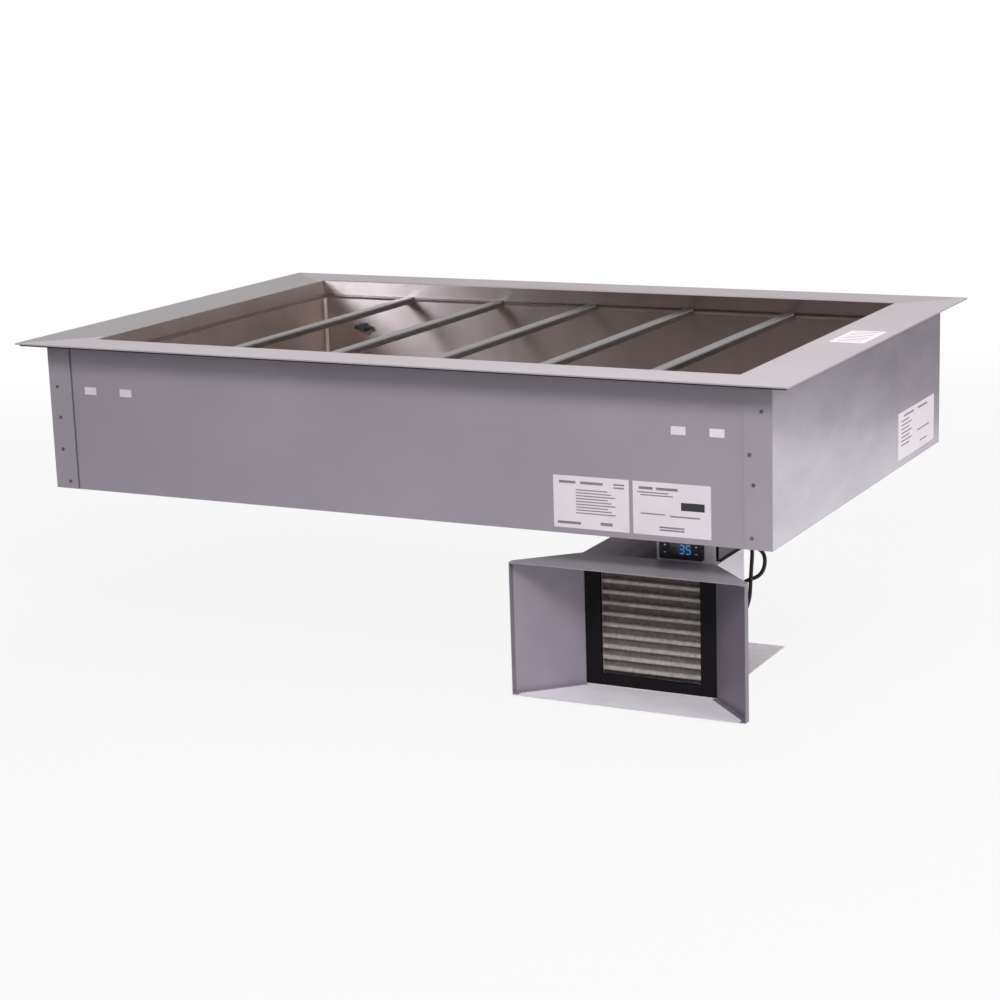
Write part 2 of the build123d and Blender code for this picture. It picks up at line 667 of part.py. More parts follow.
# Blank labels on the front, the right end and the flange
label_y = (front_face - LABEL_SHEET, front_face)
side_label_x = (case_width / 2, case_width / 2 + LABEL_SHEET)
side_label_y = case_depth / 2 - SIDE_LABEL_INSET
flange_label_x = FLANGE_WIDTH / 2 - FLANGE_LABEL_INSET
with BuildPart() as blank_labels:
    for inset in FRONT_LABEL_INSETS:
        x = case_width / 2 - inset
        block(
            (x - FRONT_LABEL_SIZE[0] / 2, x + FRONT_LABEL_SIZE[0] / 2),
            label_y,
            (
                case_bottom + FRONT_LABEL_RISE - FRONT_LABEL_SIZE[1] / 2,
                case_bottom + FRONT_LABEL_RISE + FRONT_LABEL_SIZE[1] / 2,
            ),
        )
    block(
        side_label_x,
        (side_label_y - SIDE_LABEL_SIZE[0] / 2, side_label_y + SIDE_LABEL_SIZE[0] / 2),
        (
            case_bottom + SIDE_LABEL_RISE - SIDE_LABEL_SIZE[1] / 2,
            case_bottom + SIDE_LABEL_RISE + SIDE_LABEL_SIZE[1] / 2,
        ),
    )
    block(
        (flange_label_x - FLANGE_LABEL_SIZE[0] / 2, flange_label_x + FLANGE_LABEL_SIZE[0] / 2),
        (FLANGE_LABEL_Y - FLANGE_LABEL_SIZE[1] / 2, FLANGE_LABEL_Y + FLANGE_LABEL_SIZE[1] / 2),
        (flange_top, flange_top + LABEL_SHEET),
    )
save(blank_labels, "blank_labels")

cover_middles = [inset - case_width / 2 for inset in LEFT_COVER_INSETS]
cover_middles += [case_width / 2 - inset for inset in RIGHT_COVER_INSETS]
with BuildPart() as foam_port_covers:
    for x in cover_middles:
        block(
            (x - COVER_SIZE[0] / 2, x + COVER_SIZE[0] / 2),
            (front_face - COVER_SHEET, front_face),
            (
                flange_under - COVER_DROP - COVER_SIZE[1] / 2,
                flange_under - COVER_DROP + COVER_SIZE[1] / 2,
            ),
        )
save(foam_port_covers, "foam_port_covers")


def shroud_plate(level):
    """A level shroud panel: a straight collar at the mouth, then a taper to the throat."""
    with BuildPart() as plate:
        with BuildSketch(Plane((unit_x, mouth_y, level))):
            with BuildLine():
                Polyline(
                    (-MOUTH_WIDTH / 2, 0),
                    (MOUTH_WIDTH / 2, 0),
                    (MOUTH_WIDTH / 2, MOUTH_COLLAR),
                    (THROAT_WIDTH / 2, SHROUD_DEPTH),
                    (-THROAT_WIDTH / 2, SHROUD_DEPTH),
                    (-MOUTH_WIDTH / 2, MOUTH_COLLAR),
                    close=True,
                )
            make_face()
        extrude(amount=UNIT_SHEET)
    return plate


def shroud_side(side):
    """A tapered side of the shroud, with a narrow flange spot-welded to the panels above and below."""
    taper = Vector(side * (THROAT_WIDTH - MOUTH_WIDTH) / 2, SHROUD_DEPTH - MOUTH_COLLAR).normalized()
    inward = Vector(-side * taper.Y, side * taper.X)

    def band(width):
        """The plan outline of a band of this width along the inside of the shroud's edge."""
        edge_x = side * MOUTH_WIDTH / 2
        knee = width * (1 - abs(taper.Y)) / abs(taper.X)
        return (
            (edge_x, 0),
            (edge_x, MOUTH_COLLAR),
            (side * THROAT_WIDTH / 2, SHROUD_DEPTH),
            (side * THROAT_WIDTH / 2 + inward.X * width, SHROUD_DEPTH + inward.Y * width),
            (edge_x - side * width, MOUTH_COLLAR - knee),
            (edge_x - side * width, 0),
        )

    foot = unit_bottom + UNIT_SHEET
    head = housing_under
    with BuildPart() as panel:
        for level, width, height in (
            (foot, UNIT_SHEET, head - foot),
            (foot, SHROUD_FLANGE, UNIT_SHEET),
            (head - UNIT_SHEET, SHROUD_FLANGE, UNIT_SHEET),
        ):
            with BuildSketch(Plane((unit_x, mouth_y, level))):
                with BuildLine():
                    Polyline(*band(width), close=True)
                make_face()
            extrude(amount=height)
    return panel


# Air shroud in front of the condenser
save(shroud_plate(housing_under), "shroud_top_panel")
save(shroud_plate(unit_bottom), "shroud_bottom_panel")
save(shroud_side(-1), "shroud_left_panel")
save(shroud_side(1), "shroud_right_panel")

# Tray under the unit, with side lips inside the housing
with BuildPart() as unit_tray:
    tray_x = (unit_x - inner_width / 2, unit_x + inner_width / 2)
    block(tray_x, (throat_y, tray_back), (unit_bottom, tray_top))
    for inside, outside in ((tray_x[0] + TRAY_SHEET, tray_x[0]), (tray_x[1] - TRAY_SHEET, tray_x[1])):
        block(sorted((inside, outside)), (fan_plate_back, housing_back), (tray_top, tray_top + TRAY_LIP))
    for x, y in foot_places + hanger_bolt_places:
        rod((x, y, unit_bottom), BOLT_RADIUS + BOLT_CLEARANCE, TRAY_SHEET, Mode.SUBTRACT)
save(unit_tray, "unit_tray")

# Housing: one sheet folded over the condenser and the fan
with BuildPart() as condenser_housing:
    housing_x = (unit_x - THROAT_WIDTH / 2, throat_right)
    block(housing_x, (throat_y, housing_back), (unit_bottom, unit_top))
    block(
        (housing_x[0] + UNIT_SHEET, housing_x[1] - UNIT_SHEET),
        (throat_y, housing_back),
        (unit_bottom, housing_under),
        Mode.SUBTRACT,
    )
save(condenser_housing, "condenser_housing")

# Dark frame round the condenser's face
with BuildPart() as condenser_frame:
    block(tray_x, (throat_y, coil_front), (tray_top, housing_under))
    block(
        (unit_x - FIN_WIDTH / 2, unit_x + FIN_WIDTH / 2),
        (throat_y, coil_front),
        (fin_bottom, fin_bottom + fin_height),
        Mode.SUBTRACT,
    )
save(condenser_frame, "condenser_frame")

tube_rows = [
    (column, fin_bottom + (row + 0.5) * FIN_ROW_PITCH)
    for column in (column_front, column_back)
    for row in range(FIN_ROWS)
]


def tube_holes(length):
    """Holes for every pass of the condenser tube, in the part being built."""
    for y, z in tube_rows:
        with Locations(Location((unit_x, y, z), (0, 90, 0))):
            Cylinder(TUBE_RADIUS + SLIP_FIT, length, mode=Mode.SUBTRACT)


# Fin pack: one ridge for each row of tube
with BuildPart() as condenser_fins:
    block(
        (unit_x - FIN_WIDTH / 2, unit_x + FIN_WIDTH / 2),
        (coil_front, coil_back),
        (fin_bottom, fin_bottom + fin_height),
    )
    for row in range(FIN_ROWS - 1):
        groove_z = fin_bottom + (row + 1) * FIN_ROW_PITCH
        with Locations(Location((unit_x, coil_front, groove_z), (0, 90, 0))):
            Cylinder(FIN_RIDGE, FIN_WIDTH, mode=Mode.SUBTRACT)
    tube_holes(FIN_WIDTH)
save(condenser_fins, "condenser_fins")

with BuildPart() as condenser_end_plates:
    for side in (-1, 1):
        block(
            sorted((unit_x + side * FIN_WIDTH / 2, unit_x + side * (FIN_WIDTH / 2 + END_PLATE))),
            (coil_front, coil_back),
            (tray_top, housing_under),
        )
    tube_holes(FIN_WIDTH + 4 * END_PLATE)
save(condenser_end_plates, "condenser_end_plates")

# Condenser tube: down the front column, back up the rear one, both leads at the top left
tube_right = 2 * unit_x - lead_x
tube_points = [(lead_x, lead_end, discharge_level), (lead_x, column_front, discharge_level)]
for step in range(2 * FIN_ROWS):
    goes_right = step % 2 == 0
    column = column_front if step < FIN_ROWS else column_back
    row = step if step < FIN_ROWS else 2 * FIN_ROWS - 1 - step
    ends = (lead_x, tube_right) if goes_right else (tube_right, lead_x)
    tube_points += [(x, column, row_top - row * FIN_ROW_PITCH) for x in ends]
tube_points.append((lead_x, lead_end, row_top))
condenser_tube = bent_tube(tube_points, TUBE_RADIUS, TUBE_BEND)
save(condenser_tube, "condenser_tube")


def facing_back(x, y, z):
    """A sketch plane at this point that faces the back of the unit."""
    return Plane((x, y, z), x_dir=(1, 0, 0), z_dir=(0, 1, 0))


# Fan orifice plate behind the coil, notched for the two tube leads
with BuildPart() as fan_orifice:
    block(tray_x, (coil_back, fan_plate_back), (tray_top, housing_under))
    with BuildSketch(facing_back(unit_x, fan_plate_back, fan_z)):
        Circle(FAN_RADIUS + FAN_TIP_GAP + UNIT_SHEET)
    extrude(amount=FAN_RING_DEPTH)
    with BuildSketch(facing_back(unit_x, coil_back, fan_z)):
        Circle(FAN_RADIUS + FAN_TIP_GAP)
    extrude(amount=UNIT_SHEET + FAN_RING_DEPTH, mode=Mode.SUBTRACT)
    block(
        (tray_x[0], lead_x + TUBE_RADIUS + NOTCH_MARGIN),
        (coil_back, fan_plate_back),
        (row_top - TUBE_RADIUS - NOTCH_MARGIN, discharge_level + TUBE_RADIUS + NOTCH_MARGIN),
        Mode.SUBTRACT,
    )
save(fan_orifice, "fan_orifice")

# Fan: hub, pitched blades and the shaft that runs in the motor
blade_corner = ((FAN_RADIUS**2 - (FAN_BLADE_TIP / 2) ** 2) ** 0.5, FAN_BLADE_TIP / 2)
with BuildPart() as fan_blade:
    with BuildSketch(facing_back(unit_x, hub_front, fan_z)):
        Circle(FAN_HUB_RADIUS)
    extrude(amount=FAN_HUB_LENGTH)
    for number in range(FAN_BLADES):
        angle = 2 * pi * number / FAN_BLADES
        lean = radians(FAN_PITCH_ANGLE)
        outward = (cos(angle), 0, sin(angle))
        facing = (-sin(lean) * sin(angle), cos(lean), sin(lean) * cos(angle))
        hub_middle = (unit_x, hub_front + FAN_HUB_LENGTH / 2, fan_z)
        with BuildSketch(Plane(hub_middle, x_dir=outward, z_dir=facing)):
            with BuildLine():
                Polyline(
                    (blade_corner[0], -blade_corner[1]),
                    (FAN_HUB_RADIUS / 2, -FAN_BLADE_ROOT / 2),
                    (FAN_HUB_RADIUS / 2, FAN_BLADE_ROOT / 2),
                    blade_corner,
                )
                ThreePointArc(blade_corner, (FAN_RADIUS, 0), (blade_corner[0], -blade_corner[1]))
            make_face()
        extrude(amount=FAN_BLADE_SHEET / 2, both=True)
    with BuildSketch(facing_back(unit_x, hub_back, fan_z)):
        Circle(SHAFT_RADIUS)
    extrude(amount=MOTOR_SETBACK + SHAFT_GRIP)
save(fan_blade, "fan_blade")

lead_boss_x = unit_x + MOTOR_RADIUS + LEAD_BOSS_REACH
motor_middle = (motor_front + motor_back) / 2
with BuildPart() as fan_motor:
    with BuildSketch(facing_back(unit_x, motor_front, fan_z)):
        Circle(MOTOR_RADIUS)
    extrude(amount=MOTOR_LENGTH)
    fillet(fan_motor.edges().filter_by(GeomType.CIRCLE), MOTOR_ROUND)
    with BuildSketch(facing_back(unit_x, motor_front, fan_z)):
        Circle(MOTOR_BOSS_RADIUS)
    extrude(amount=-MOTOR_BOSS_LENGTH)
    block(
        (unit_x, lead_boss_x),
        (motor_middle - LEAD_BOSS / 2, motor_middle + LEAD_BOSS / 2),
        (fan_z - LEAD_BOSS / 2, fan_z + LEAD_BOSS / 2),
    )
    with BuildSketch(facing_back(unit_x, motor_front - MOTOR_BOSS_LENGTH, fan_z)):
        Circle(SHAFT_RADIUS + SHAFT_CLEARANCE)
    extrude(amount=MOTOR_BOSS_LENGTH + SHAFT_GRIP + SHAFT_END_GAP, mode=Mode.SUBTRACT)
save(fan_motor, "fan_motor")

pedestal_x = (unit_x - PEDESTAL_WIDTH / 2, unit_x + PEDESTAL_WIDTH / 2)
with BuildPart() as fan_pedestal:
    block(pedestal_x, (motor_back, motor_back + PEDESTAL_SHEET), (tray_top, fan_z + MOTOR_RADIUS))
    block(pedestal_x, (motor_back, motor_back + PEDESTAL_FOOT), (tray_top, tray_top + PEDESTAL_SHEET))
save(fan_pedestal, "fan_pedestal")

# Compressor: welded shell on its base plate, with two tube stubs in the dome
compressor_axis = Axis((compressor_x, compressor_y, 0), (0, 0, 1))
seam_low = COMPRESSOR_SEAM_RISE
seam_high = COMPRESSOR_SEAM_RISE + COMPRESSOR_SEAM_HEIGHT
seam_radius = COMPRESSOR_RADIUS + COMPRESSOR_SEAM_REACH
shoulder = COMPRESSOR_HEIGHT - COMPRESSOR_DOME
with BuildPart() as compressor_shell:
    with BuildSketch(
        Plane((compressor_x, compressor_y, shell_bottom), x_dir=(1, 0, 0), z_dir=(0, -1, 0))
    ) as shell_profile:
        with BuildLine():
            Polyline(
                (0, 0),
                (COMPRESSOR_RADIUS - COMPRESSOR_BASE_ROUND, 0),
                (COMPRESSOR_RADIUS, COMPRESSOR_BASE_ROUND),
                (COMPRESSOR_RADIUS, seam_low),
                (seam_radius, seam_low),
                (seam_radius, seam_high),
                (COMPRESSOR_RADIUS, seam_high),
                (COMPRESSOR_RADIUS, COMPRESSOR_HEIGHT),
                (0, COMPRESSOR_HEIGHT),
                close=True,
            )
        make_face()
        fillet(shell_profile.vertices().group_by(Axis.Y)[-1].sort_by(Axis.X)[-1], COMPRESSOR_DOME)
    revolve(axis=compressor_axis)
    with BuildSketch(Plane((compressor_x, compressor_y, plate_under))):
        RectangleRounded(
            FOOT_SPACING[0] + 2 * COMPRESSOR_PLATE_MARGIN,
            FOOT_SPACING[1] + 2 * COMPRESSOR_PLATE_MARGIN,
            COMPRESSOR_PLATE_MARGIN / 2,
        )
        with GridLocations(*FOOT_SPACING, 2, 2):
            Circle(BOLT_RADIUS + BOLT_CLEARANCE, mode=Mode.SUBTRACT)
    extrude(amount=COMPRESSOR_PLATE)
    for across, along in (DISCHARGE_STUB, SUCTION_STUB):
        stub_foot = (compressor_x + across, compressor_y + along, shell_bottom + shoulder)
        rod(stub_foot, STUB_RADIUS, stub_top - shell_bottom - shoulder)
save(compressor_shell, "compressor_shell")

with BuildPart() as compressor_grommets:
    for x, y in foot_places:
        rod((x, y, tray_top), GROMMET_RADIUS, GROMMET_HEIGHT)
        rod((x, y, tray_top), BOLT_RADIUS + BOLT_CLEARANCE, GROMMET_HEIGHT, Mode.SUBTRACT)
save(compressor_grommets, "compressor_grommets")

terminal_z = shell_bottom + TERMINAL_RISE
terminal_right = compressor_x + COMPRESSOR_RADIUS + TERMINAL_SIZE[0]
terminal_front = compressor_y - TERMINAL_SIZE[1] / 2
with BuildPart() as terminal_cover:
    block(
        (compressor_x, terminal_right),
        (terminal_front, compressor_y + TERMINAL_SIZE[1] / 2),
        (terminal_z - TERMINAL_SIZE[2] / 2, terminal_z + TERMINAL_SIZE[2] / 2),
    )
    fillet(terminal_cover.edges().filter_by(Axis.Z).group_by(Axis.X)[-1], TERMINAL_ROUND)
    rod(
        (compressor_x, compressor_y, terminal_z - TERMINAL_SIZE[2] / 2),
        COMPRESSOR_RADIUS + COVER_GAP,
        TERMINAL_SIZE[2],
        Mode.SUBTRACT,
    )
save(terminal_cover, "terminal_cover")

# Refrigerant circuit: discharge line, drier, capillary and suction line
discharge_stub = (compressor_x + DISCHARGE_STUB[0], compressor_y + DISCHARGE_STUB[1])
discharge_points = [
    (*discharge_stub, stub_top),
    (*discharge_stub, stub_top + DISCHARGE_LIFT),
    (lead_x, discharge_stub[1] - DISCHARGE_RUN, stub_top + DISCHARGE_LIFT),
    (lead_x, housing_back + DISCHARGE_APPROACH, discharge_level),
    (lead_x, lead_end, discharge_level),
]
save(bent_tube(discharge_points, DISCHARGE_TUBE, DISCHARGE_BEND), "discharge_line")

with BuildPart() as filter_drier:
    with BuildSketch(Plane((lead_x, lead_end, row_top), x_dir=(1, 0, 0), z_dir=(0, 0, 1))):
        with BuildLine():
            Polyline(
                (0, 0),
                (TUBE_RADIUS, 0),
                (TUBE_RADIUS, DRIER_NECK / 2),
                (DRIER_RADIUS, DRIER_NECK),
                (DRIER_RADIUS, DRIER_LENGTH - DRIER_NECK),
                (CAPILLARY_TUBE, DRIER_LENGTH - DRIER_NECK / 2),
                (CAPILLARY_TUBE, DRIER_LENGTH),
                (0, DRIER_LENGTH),
                close=True,
            )
        make_face()
    revolve(axis=Axis((lead_x, lead_end, row_top), (0, 1, 0)))
save(filter_drier, "filter_drier")

drier_end = lead_end + DRIER_LENGTH
capillary_x = liner_width / 2 + CAPILLARY_STANDOFF
capillary_points = [
    (lead_x, drier_end, row_top),
    (lead_x, drier_end + CAPILLARY_LEAD, row_top),
    (lead_x, drier_end + CAPILLARY_LEAD, stub_top + CAPILLARY_LIFT),
    (*capillary_hole, stub_top + CAPILLARY_LIFT),
    (*capillary_hole, capillary_level),
    (capillary_x, capillary_hole[1], capillary_level),
    (capillary_x, capillary_hole[1], coil_top),
    (coil_half_width, capillary_hole[1], coil_top),
    (coil_half_width, coil_start_y, coil_top),
]
save(bent_tube(capillary_points, CAPILLARY_TUBE, CAPILLARY_BEND), "capillary_tube")

suction_points = [
    (coil_half_width, suction_y, coil_tail),
    (coil_half_width, suction_y, suction_level),
    (suction_x, suction_y, suction_level),
    (suction_x, suction_y, stub_top),
]
save(bent_tube(suction_points, SUCTION_TUBE, TAIL_BEND), "suction_line")

# Rear hangers between the well and the back of the tray
with BuildPart() as rear_hangers:
    for x in hanger_middles:
        hanger_x = (x - HANGER_WIDTH / 2, x + HANGER_WIDTH / 2)
        hanger_y = (tray_back - HANGER_FOOT, tray_back + HANGER_SHEET)
        block(hanger_x, (tray_back, tray_back + HANGER_SHEET), (unit_bottom - HANGER_SHEET, hang_level))
        block(hanger_x, hanger_y, (hang_level - HANGER_SHEET, hang_level))
        block(hanger_x, hanger_y, (unit_bottom - HANGER_SHEET, unit_bottom))
    for x, y in hanger_bolt_places:
        rod((x, y, hang_level - HANGER_SHEET), BOLT_RADIUS + BOLT_CLEARANCE, HANGER_SHEET, Mode.SUBTRACT)
        rod((x, y, unit_bottom - HANGER_SHEET), BOLT_RADIUS + BOLT_CLEARANCE, HANGER_SHEET, Mode.SUBTRACT)
save(rear_hangers, "rear_hangers")

# Bolts: through the compressor's feet, the tray and hangers, and up into the bottom of the case
bolt_runs = [(x, y, shell_bottom, unit_bottom) for x, y in foot_places]
bolt_runs += [(x, y, tray_top, unit_bottom - HANGER_SHEET) for x, y in hanger_bolt_places]
bolt_runs += [(x, y, hang_level - HANGER_SHEET, foam_under) for x, y in hanger_bolt_places]
bolt_runs += [(x, y, hang_level - UNIT_SHEET, foam_under) for x, y in bracket_bolt_places]
with BuildPart() as unit_bolts:
    for x, y, seat, tip in bolt_runs:
        with BuildSketch(Plane((x, y, seat), z_dir=(0, 0, 1 if seat > tip else -1))):
            RegularPolygon(BOLT_HEAD_RADIUS, 6)
        extrude(amount=BOLT_HEAD_HEIGHT)
        rod((x, y, min(seat, tip)), BOLT_RADIUS, abs(seat - tip))
save(unit_bolts, "unit_bolts")


def facing_front(x, y, z):
    """A sketch plane at this point that faces the front of the unit."""
    return Plane((x, y, z), x_dir=(1, 0, 0), z_dir=(0, -1, 0))


# Controller bracket: the front hanger, with the controller in its cut-out
with BuildPart() as controller_bracket:
    block(bracket_x, (throat_y, bracket_back), (unit_top, hang_level))
    block(bracket_x, (bracket_back, bracket_back + BRACKET_FLANGE), (hang_level - UNIT_SHEET, hang_level))
    block(bracket_x, (bracket_back, bracket_back + BRACKET_FLANGE), (unit_top, unit_top + UNIT_SHEET))
    with BuildSketch(facing_front(control_x, bracket_back, control_z)):
        Rectangle(BODY_SIZE[0] + 2 * BODY_CLEARANCE, BODY_SIZE[1] + 2 * BODY_CLEARANCE)
    extrude(amount=UNIT_SHEET, mode=Mode.SUBTRACT)
    for x, y in bracket_bolt_places:
        rod((x, y, hang_level - UNIT_SHEET), BOLT_RADIUS + BOLT_CLEARANCE, UNIT_SHEET, Mode.SUBTRACT)
save(controller_bracket, "controller_bracket")

key_places = [(across * KEY_COLUMN, along * KEY_ROW) for across in (-1, 1) for along in (1, -1)]
key_pocket = KEY_LENGTH - KEY_PROUD + KEY_TRAVEL + KEY_CLEARANCE
with BuildPart() as controller_case:
    with BuildSketch(facing_front(control_x, throat_y, control_z)):
        RectangleRounded(*BEZEL_SIZE, BEZEL_CORNER)
    extrude(amount=BEZEL_THICKNESS)
    with BuildSketch(facing_front(control_x, throat_y, control_z)):
        Rectangle(*BODY_SIZE)
    extrude(amount=-BODY_DEPTH)
    with BuildSketch(facing_front(control_x, bezel_front, control_z)):
        Rectangle(*LENS_SIZE)
    extrude(amount=-LENS_RECESS, mode=Mode.SUBTRACT)
    with BuildSketch(facing_front(control_x, bezel_front, control_z)):
        with Locations(*key_places):
            Rectangle(KEY_SIZE[0] + 2 * KEY_CLEARANCE, KEY_SIZE[1] + 2 * KEY_CLEARANCE)
    extrude(amount=-key_pocket, mode=Mode.SUBTRACT)
save(controller_case, "controller_case")

with BuildPart() as controller_lens:
    with BuildSketch(facing_front(control_x, bezel_front + LENS_RECESS, control_z)):
        Rectangle(*LENS_SIZE)
    extrude(amount=LENS_THICKNESS)
save(controller_lens, "controller_lens")

key_back = bezel_front - KEY_PROUD + KEY_LENGTH
for number, (across, along) in enumerate(key_places):
    with BuildPart() as controller_key:
        with BuildSketch(facing_front(control_x + across, key_back, control_z + along)):
            RectangleRounded(*KEY_SIZE, BEZEL_CORNER / 2)
        extrude(amount=KEY_LENGTH)
    save(controller_key, f"controller_key_{number + 1}")

# Electrical box behind the controller, open to the case above it, with its cable glands
box_x = (bracket_x[0] + BOX_SIDE_INSET, bracket_x[1] - BOX_SIDE_INSET)
box_bottom = unit_top + BOX_FLOOR_GAP
with BuildPart() as electrical_box:
    block(box_x, (box_front, box_back), (box_bottom, hang_level))
    block(
        (box_x[0] + UNIT_SHEET, box_x[1] - UNIT_SHEET),
        (box_front, box_back - UNIT_SHEET),
        (box_bottom + UNIT_SHEET, hang_level),
        Mode.SUBTRACT,
    )
    for x in gland_x:
        with BuildSketch(facing_front(x, box_back, gland_z)):
            Circle(GLAND_SPIGOT + SLIP_FIT)
        extrude(amount=UNIT_SHEET, mode=Mode.SUBTRACT)
save(electrical_box, "electrical_box")

with BuildPart() as cable_glands:
    for x in gland_x:
        with BuildSketch(facing_back(x, box_back, gland_z)):
            RegularPolygon(GLAND_RADIUS, 6)
        extrude(amount=GLAND_REACH / 2)
        with BuildSketch(facing_back(x, box_back - UNIT_SHEET, gland_z)):
            Circle(GLAND_SPIGOT)
        extrude(amount=UNIT_SHEET + GLAND_REACH)
save(cable_glands, "cable_glands")



def cable_route(start, first_steps, last_steps, end):
    """Points of a cable: the first steps count from its start and the last ones from its end."""
    leaving = [Vector(*start) + Vector(*step) for step in first_steps]
    arriving = [Vector(*end) + Vector(*step) for step in last_steps]
    return [Vector(*start), *leaving, *arriving, Vector(*end)]


# Cables from the electrical box to the compressor and to the fan motor
gland_end = box_back + GLAND_REACH
compressor_cable_points = cable_route(
    (gland_x[2], gland_end, gland_z),
    COMPRESSOR_CABLE_FIRST,
    COMPRESSOR_CABLE_LAST,
    (terminal_right - TERMINAL_SIZE[0] / 2, terminal_front, terminal_z),
)
fan_cable_points = cable_route(
    (gland_x[1], gland_end, gland_z),
    FAN_CABLE_FIRST,
    FAN_CABLE_LAST,
    (lead_boss_x, motor_middle, fan_z),
)
for name, points in (("compressor_cable", compressor_cable_points), ("fan_cable", fan_cable_points)):
    bends = easy_bends(points)
    print(name, "bend radii", [round(bend, 1) for bend in bends])
    save(bent_tube(points, CABLE_RADIUS, bends), name)
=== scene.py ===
"""Looks of the drop-in cold well: finishes, condenser fins, cables, display, labels, light and camera."""
from math import cos, radians, sin

import bmesh
import bpy
from mathutils import Matrix, Vector


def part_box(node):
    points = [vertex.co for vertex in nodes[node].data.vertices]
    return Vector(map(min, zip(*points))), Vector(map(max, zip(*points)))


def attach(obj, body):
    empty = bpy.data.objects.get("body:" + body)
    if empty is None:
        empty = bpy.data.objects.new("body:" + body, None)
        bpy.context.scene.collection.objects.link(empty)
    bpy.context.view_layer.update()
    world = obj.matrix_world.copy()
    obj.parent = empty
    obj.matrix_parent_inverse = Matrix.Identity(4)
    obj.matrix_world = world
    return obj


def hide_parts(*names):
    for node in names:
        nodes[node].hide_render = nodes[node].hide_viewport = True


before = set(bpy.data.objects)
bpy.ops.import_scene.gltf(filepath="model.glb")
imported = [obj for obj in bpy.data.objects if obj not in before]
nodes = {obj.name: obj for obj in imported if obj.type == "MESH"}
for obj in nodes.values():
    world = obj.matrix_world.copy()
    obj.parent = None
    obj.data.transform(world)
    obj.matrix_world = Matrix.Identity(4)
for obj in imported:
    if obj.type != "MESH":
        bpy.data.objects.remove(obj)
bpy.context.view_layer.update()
scene = bpy.context.scene
scene.view_settings.view_transform = "Standard"

# Lengths are in metres. Heights where one finish gives way to another:
SKIRT_TOP = 0.0025
LEDGE_TOP = -0.0212
LEDGE_UNDERSIDE = -0.0232
FLOOR_TOP = -0.1905
HALF_SEAM = 0.0005

# Depth of the relief in brushed sheet, in a plastic or painted skin, and in smeared steel
BRUSH_DEPTH = 0.0004
SKIN_DEPTH = 0.0003
SMEAR_DEPTH = 0.004

# Condenser fins. Each row of tube pushes the fins' edge out: share of the row's height, setback there
FIN_COUNT = 92
FIN_ROWS = 10
FIN_THICKNESS = 0.0009
FIN_EDGE = ((0.0, 0.0050), (0.22, 0.0040), (0.40, 0.0), (0.64, 0.0), (0.82, 0.0040))

# Display and keys of the controller
DIGIT_SHIFT = 0.0065
DIGIT_PITCH = 0.0104
DIGIT_WIDE, DIGIT_TALL, DIGIT_LINE = 0.0064, 0.0128, 0.0013
DIGIT_SLANT = 0.08
DIGIT_PROUD = 0.00012
MARK_PROUD = 0.00008
PRINT_SUNK = 0.0001
MARK_BAR = (0.0019, 0.0004)
MARK_UPRIGHT = (0.0004, 0.0014)
CROSS_KEYS = (1, 3)

# Labels: lower corner, edge along, edge up, and half the thickness of the ink
INK = 0.00006
LEFT_LABEL = ((0.278, -0.3921, -0.2255), (0.119, 0, 0), (0, 0, 0.077), (0, INK, 0))
RIGHT_LABEL = ((0.403, -0.3921, -0.2255), (0.119, 0, 0), (0, 0, 0.077), (0, INK, 0))
END_LABEL = ((0.6143, 0.171, -0.222), (0, 0.190, 0), (0, 0, 0.076), (INK, 0, 0))
FLANGE_LABEL = ((0.578, -0.057, 0.0053), (0.054, 0, 0), (0, 0.108, 0), (0, 0, INK))

# Studio
STUDIO_FLOOR_LEVEL = -0.495
STUDIO_FLOOR_RADIUS = 9.0
WHITE = (1, 1, 1, 1)


# Shader maths

def paint(red, green, blue):
    """A colour as seen on screen, 0 to 255, turned into the linear values that shaders take."""
    steps = [part / 255 for part in (red, green, blue)]
    return tuple(s / 12.92 if s <= 0.04045 else ((s + 0.055) / 1.055) ** 2.4 for s in steps) + (1.0,)


class Flow:
    """A socket whose value takes part in Python sums."""

    def __init__(self, sheet, socket):
        self.sheet = sheet
        self.socket = socket

    def math(self, operation, *values):
        return self.sheet.add("ShaderNodeMath", {"operation": operation}, dict(enumerate(values)))

    def __add__(self, other):
        return self.math("ADD", self, other)

    def __radd__(self, other):
        return self.math("ADD", other, self)

    def __sub__(self, other):
        return self.math("SUBTRACT", self, other)

    def __rsub__(self, other):
        return self.math("SUBTRACT", other, self)

    def __mul__(self, other):
        return self.math("MULTIPLY", self, other)

    def __truediv__(self, other):
        return self.math("DIVIDE", self, other)

    def __abs__(self):
        return self.math("ABSOLUTE", self)

    def above(self, level):
        return self.math("GREATER_THAN", self, level)

    def below(self, level):
        return self.math("LESS_THAN", self, level)

    def most(self, other):
        return self.math("MAXIMUM", self, other)

    def rise(self, low, high):
        """0 below low, 1 above high, smooth between them."""
        return self.sheet.add(
            "ShaderNodeMapRange",
            {"interpolation_type": "SMOOTHSTEP"},
            {"Value": self, "From Min": low, "From Max": high},
        )

    def full(self):
        """A noise, which crowds round a half, spread out over 0 to 1."""
        return self.rise(0.3, 0.7)

    def swing(self, amount):
        """A noise as a small change to either side of nothing."""
        return (self - 0.5) * amount


